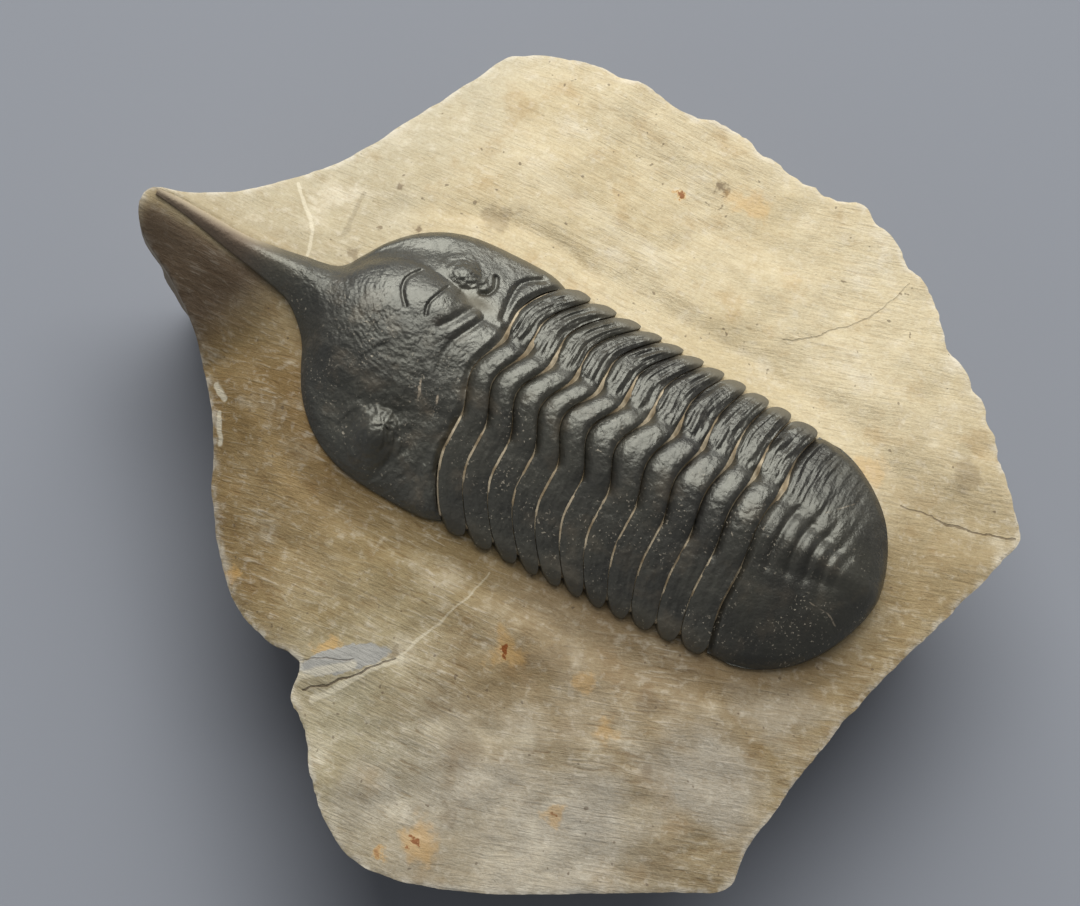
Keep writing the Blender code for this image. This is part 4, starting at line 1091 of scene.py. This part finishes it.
def make_head():
    tip, rear = HEAD_X[0], float(joint(0, 0.0))

    def place(s, t):
        row = np.where(s < SNOUT_ROWS, s / SNOUT_ROWS * 0.44, 0.44 + (s - SNOUT_ROWS) / (1 - SNOUT_ROWS) * 0.56)
        x = tip + (rear - tip) * row
        late = ramp(row, 0.62, 1.0)
        back = joint(0, np.abs(t) * 13.2) - VISIBLE_GAP / 2
        x = x + (back - rear) * late
        w = np.abs(t) * head_half(x)
        y = mid_line(x) + np.sign(t) * w
        near = ramp(AXIS_Y - y, -0.5, 2.5)
        folds = lump(x, y, 1.3, 6.0, 4)
        reach = np.hypot(x - SIDE_LOBE[0], y - AXIS_Y - SIDE_LOBE[1])
        turn = np.arctan2(y - AXIS_Y - SIDE_LOBE[1], SIDE_LOBE[0] - x)
        rings = lump(reach, turn * 1.5, 0.32, 12.0, 2) * ramp(reach, 3.3, 4.3) * (1.0 - ramp(reach, 8.0, 10.5))
        to_eye = either(near, oval(x, w, *EYE_FAR), oval(x, w, *EYE_NEAR))
        eye_turn = np.arctan2(w - EYE_FAR[0][1], EYE_FAR[0][0] - x)
        brow = lump(to_eye * 2.6, eye_turn * 0.9, 0.5, 15.0, 2) * np.exp(-((to_eye - 0.6) / 0.6) ** 2)
        grain = lump(x, y, 0.42, 21.0, 3)
        front = ramp(-x, 12.0, 15.5) * ramp(x, -30.0, -26.0)
        lobe = np.clip(1.0 - oval(x, w, SIDE_LOBE, SIDE_LOBE_SIZE) ** 4, 0.0, 1.0)
        mottle = 0.05 * lump(x, y, 0.34, 27.0, 2) + 0.12 * lump(x, y, 1.5, 31.0, 2)
        mottle = mottle * (1.0 - ramp(y - AXIS_Y, 0.6, 3.2))
        rings = rings * front * (1.0 - ramp(y - AXIS_Y, 2.5, 5.5))
        rough = 0.05 * folds + 0.02 * grain + 0.08 * rings + (0.10 + 0.14 * near) * brow + mottle - 0.12
        z = head_height(x, w, near) + (1.0 - 0.7 * lobe * (1.0 - near)) * ramp(x, -33.0, -27.0) * rough
        half = head_half(x)
        stony = ramp(-x, 30.0, 35.0) + 0.0 * y
        worn = 0.5 * ramp(w, half - 2.6, half - 0.3) * ramp(y - AXIS_Y, 0.0, 2.0) * ramp(x, -17.0, -12.0)
        browning = np.maximum(0.5 * ramp(-x, 27.0, 31.0), 0.9 * np.exp(-oval(x, y, (-11.9, 10.1), (2.0, 0.9)) ** 2))
        lit_eye = near * np.exp(-(to_eye / 1.1) ** 4)
        skin = (1.0 - ramp(y - AXIS_Y, 0.6, 3.2)) * ramp(-x, 8.5, 11.0) * (1.0 - lit_eye)
        values = {"worn": np.maximum(worn, browning), "stony": stony, "rough_skin": skin}
        return x, y, plate_floor(x) + z, values

    plate = raise_sheet("head_shield", HEAD_ROWS, HEAD_ACROSS, place)
    close_below(plate, plate_floor)
    finish_piece(plate, ["cephalon"], HEAD_SHELL)
    return plate


head = make_head()


# %% Tail relief
TAIL_FURROW = 0.34
TAIL_RIB = 0.12


def tail_lobe_half(x):
    return TAIL_LOBE[0] + (TAIL_LOBE[1] - TAIL_LOBE[0]) * ramp(x, *TAIL_LOBE_SPAN)


def tail_height(x, w, near):
    half = np.maximum(np.interp(x, TAIL_X, TAIL_HALF), 0.2)
    back = np.clip((x - TAIL_X[0]) / (TAIL_X[-1] - TAIL_X[0]), 0.0, 1.0)
    across = np.cos(np.clip(w / np.maximum(half, 12.0 * np.sqrt(1.0 - back ** 2.4)), 0.0, 1.0) * math.pi / 2)
    along = np.sqrt(np.clip(1.0 - back ** 2.1, 0.0, 1.0))
    height = RIM * 0.8 + (CREST - 0.35) * across * along
    lobe = tail_lobe_half(x)
    fade = 1.0 - ramp(x, 27.0, 32.5)
    height = height + (0.25 + 0.45 * fade) * np.exp(-(w / (0.75 * lobe)) ** 2)
    height = height - 0.20 * fade * (1.0 - near) * np.exp(-((w - lobe) / 0.7) ** 2)
    for ring in TAIL_RINGS:
        slant = ring + 0.22 * np.maximum(w - lobe, 0.0) - 0.45 * (1.0 - np.minimum(w / lobe, 1.0) ** 2)
        ends = 1.0 - ramp(w, 6.5, 10.0)
        depth = (TAIL_RIB + (TAIL_FURROW - TAIL_RIB) * (1.0 - ramp(w, lobe - 0.4, lobe + 0.8))) * (1.0 - 0.7 * near)
        height = height - depth * fade * ends * np.exp(-((x - slant) / 0.42) ** 2)
    front_edge = ramp(x - joint(SEGMENTS, w), 0.0, 0.8)
    return np.maximum(height - rounded_edge(half - w) * (1.0 - ramp(x, 30.0, 33.0)) - 0.45 * (1.0 - front_edge), 0.3)


TAIL_SIDE = curve_through(list(zip(TAIL_X, TAIL_HALF)), 0.4, False)
TAIL_ROWS = 170
TAIL_ACROSS = 270


def make_tail():
    xs = np.array([p[0] for p in TAIL_SIDE])
    ws = np.array([p[1] for p in TAIL_SIDE])
    keep = xs >= TAIL_X[1]
    rear_w, rear_x = ws[keep][::-1], xs[keep][::-1]

    def place(s, t):
        w = np.abs(t) * TAIL_HALF[1]
        front = joint(SEGMENTS, w) + VISIBLE_GAP / 2
        rear = np.interp(w, rear_w, rear_x)
        x = front + s * (rear - front)
        y = AXIS_Y + t * TAIL_HALF[1]
        far = ramp(t, -0.05, 0.30) * ramp(w, 3.5, 5.0) * (1.0 - ramp(x, 26.0, 31.0)) * (1.0 - ramp(w, 9.5, 12.0))
        folds = lump((x - front) * 1.15, y / 4.5, 1.0, 44.0, 3)
        near = ramp(-t * TAIL_HALF[1], 1.0, 4.0)
        fine = lump((x - front) * 3.0, y / 3.0, 1.0, 54.0, 2)
        z = tail_height(x, w, near) + 0.03 * lump(x, y, 1.2, 2.0, 4) + (0.14 * folds + 0.05 * fine) * far
        worn = 0.35 * ramp(w, 10.5, 12.2) * ramp(t, 0.0, 0.3)
        skin = 0.9 * ramp(w, 4.0, 6.0) * ramp(x, 24.0, 26.5) * ramp(t, -0.1, 0.1)
        return x, y, plate_floor(x) + z, {"worn": worn, "stony": 0.0 * x, "rough_skin": skin}

    plate = raise_sheet("tail_shield", TAIL_ROWS, TAIL_ACROSS, place)
    close_below(plate, plate_floor)
    finish_piece(plate, ["pygidium"], TAIL_SHELL)
    return plate


tail = make_tail()

# %% [markdown]
# ## Sediment in the seams
# Pale sediment still fills parts of the seams between plates. Each seam is a narrow strip that follows its
# joint, a little below the plates' edges. Where a wandering height lifts it, it shows as a cream line, and
# where it sinks, the seam stays dark.

# %% Sediment material
def make_sediment_material():
    """Cream sediment, crumbly and a little stained."""
    material = bpy.data.materials.new("cream_sediment")
    material.use_nodes = True
    tree = material.node_tree
    shader = tree.nodes["Principled BSDF"]
    where = add_node(tree, "ShaderNodeTexCoord").outputs["Object"]
    stain = remap(tree, noise_node(tree, where, 500.0, 4.0), 0.35, 0.65)
    base = mix_colour(tree, stain, (0.30, 0.22, 0.12, 1.0), (0.66, 0.55, 0.37, 1.0))
    grain = group_node(tree, FINE_GRAIN, {"Vector": where, "Coarse Scale": 1500.0, "Fine Scale": 4000.0,
                                          "Fine Share": 0.5})
    base = mix_colour(tree, math_node(tree, "MULTIPLY", grain.outputs["Mask"], 0.35), base,
                      (0.14, 0.10, 0.06, 1.0))
    tree.links.new(base, shader.inputs["Base Color"])
    tree.links.new(remap(tree, grain.outputs["Height"], 0.3, 0.7, 0.75, 0.95), shader.inputs["Roughness"])
    bump = add_node(tree, "ShaderNodeBump", {"Strength": 0.5, "Distance": 0.00012,
                                             "Height": grain.outputs["Height"]})
    tree.links.new(bump.outputs[0], shader.inputs["Normal"])
    return material


# %% Seam strips
SEAM_ALONG = 260
SEAM_ACROSS = 4
SEAM_FRONT = -0.08
SEAM_REAR = 0.24
SEAM_THIN = 0.10
WEDGE = 0.30
WEDGE_AT = (4.7, 1.3)


def seam_edge_heights(k, w, near):
    """Heights of the two plates that meet at joint k."""
    after = segment_height(k, 0.0 * w, w, near) if k < SEGMENTS else tail_height(joint(k, w) + 0.1, w, near)
    before = segment_height(k - 1, 0.0 * w + 1.0, w, near) if k > 0 else head_height(joint(0, w) - 0.1, w, near)
    return before, after


def make_seam(k):
    reach = float(body_half(joint(k, FULCRUM))) - 0.9

    def place(s, t):
        w = np.abs(t) * reach
        wedge = np.exp(-((t * reach - WEDGE_AT[0]) / WEDGE_AT[1]) ** 2)
        thin = SEAM_THIN * ramp(-t * reach, 1.0, 3.0)
        shift = SEAM_FRONT + s * (SEAM_REAR + WEDGE * wedge - thin - SEAM_FRONT)
        x = joint(k, w) + shift
        y = AXIS_Y + t * reach
        before, after = seam_edge_heights(k, w, ramp(-t * reach, 1.0, 4.5))
        near = ramp(-t * reach, 2.5, 4.5) * (1.0 - ramp(-t * reach, 8.5, 11.5))
        far = ramp(t * reach, 1.5, 3.5) * (1.0 - ramp(t * reach, 7.0, 9.5))
        want = np.maximum(near, 0.9 * far)
        wave = lump(y, 0.0 * y + 3.0 * k, 2.2, 7.0 + k, 3)
        fine = lump(x, y, 0.5, 30.0 + k, 2)
        lift = -0.34 + 0.42 * want + 0.16 * wave + 0.05 * fine + 0.30 * wedge
        rear = np.maximum(before - 0.14, after)
        z = rear + (after - rear) * ramp(s, 0.0, 0.8) + np.minimum(lift, 0.07 + 0.20 * wedge)
        return x, y, plate_floor(x) + z, {}

    return raise_sheet(f"seam_{k + 1:02d}", SEAM_ACROSS / DETAIL, SEAM_ALONG, place)


def make_seams():
    strips = [make_seam(k) for k in range(SEGMENTS + 1)]
    deselect()
    for strip in strips:
        strip.select_set(True)
    bpy.context.view_layer.objects.active = strips[0]
    bpy.ops.object.join()
    seams = bpy.context.object
    seams.name = seams.data.name = "seam_sediment"
    bpy.ops.object.mode_set(mode="EDIT")
    bpy.ops.mesh.select_all(action="SELECT")
    bpy.ops.mesh.extrude_region_move(TRANSFORM_OT_translate={"value": (0.0, 0.0, -SEAM_THICK * MM)})
    bpy.ops.object.mode_set(mode="OBJECT")
    finish_piece(seams, [], SEDIMENT)
    return seams


SEAM_THICK = 0.5
SEDIMENT = make_sediment_material()
seams = make_seams()
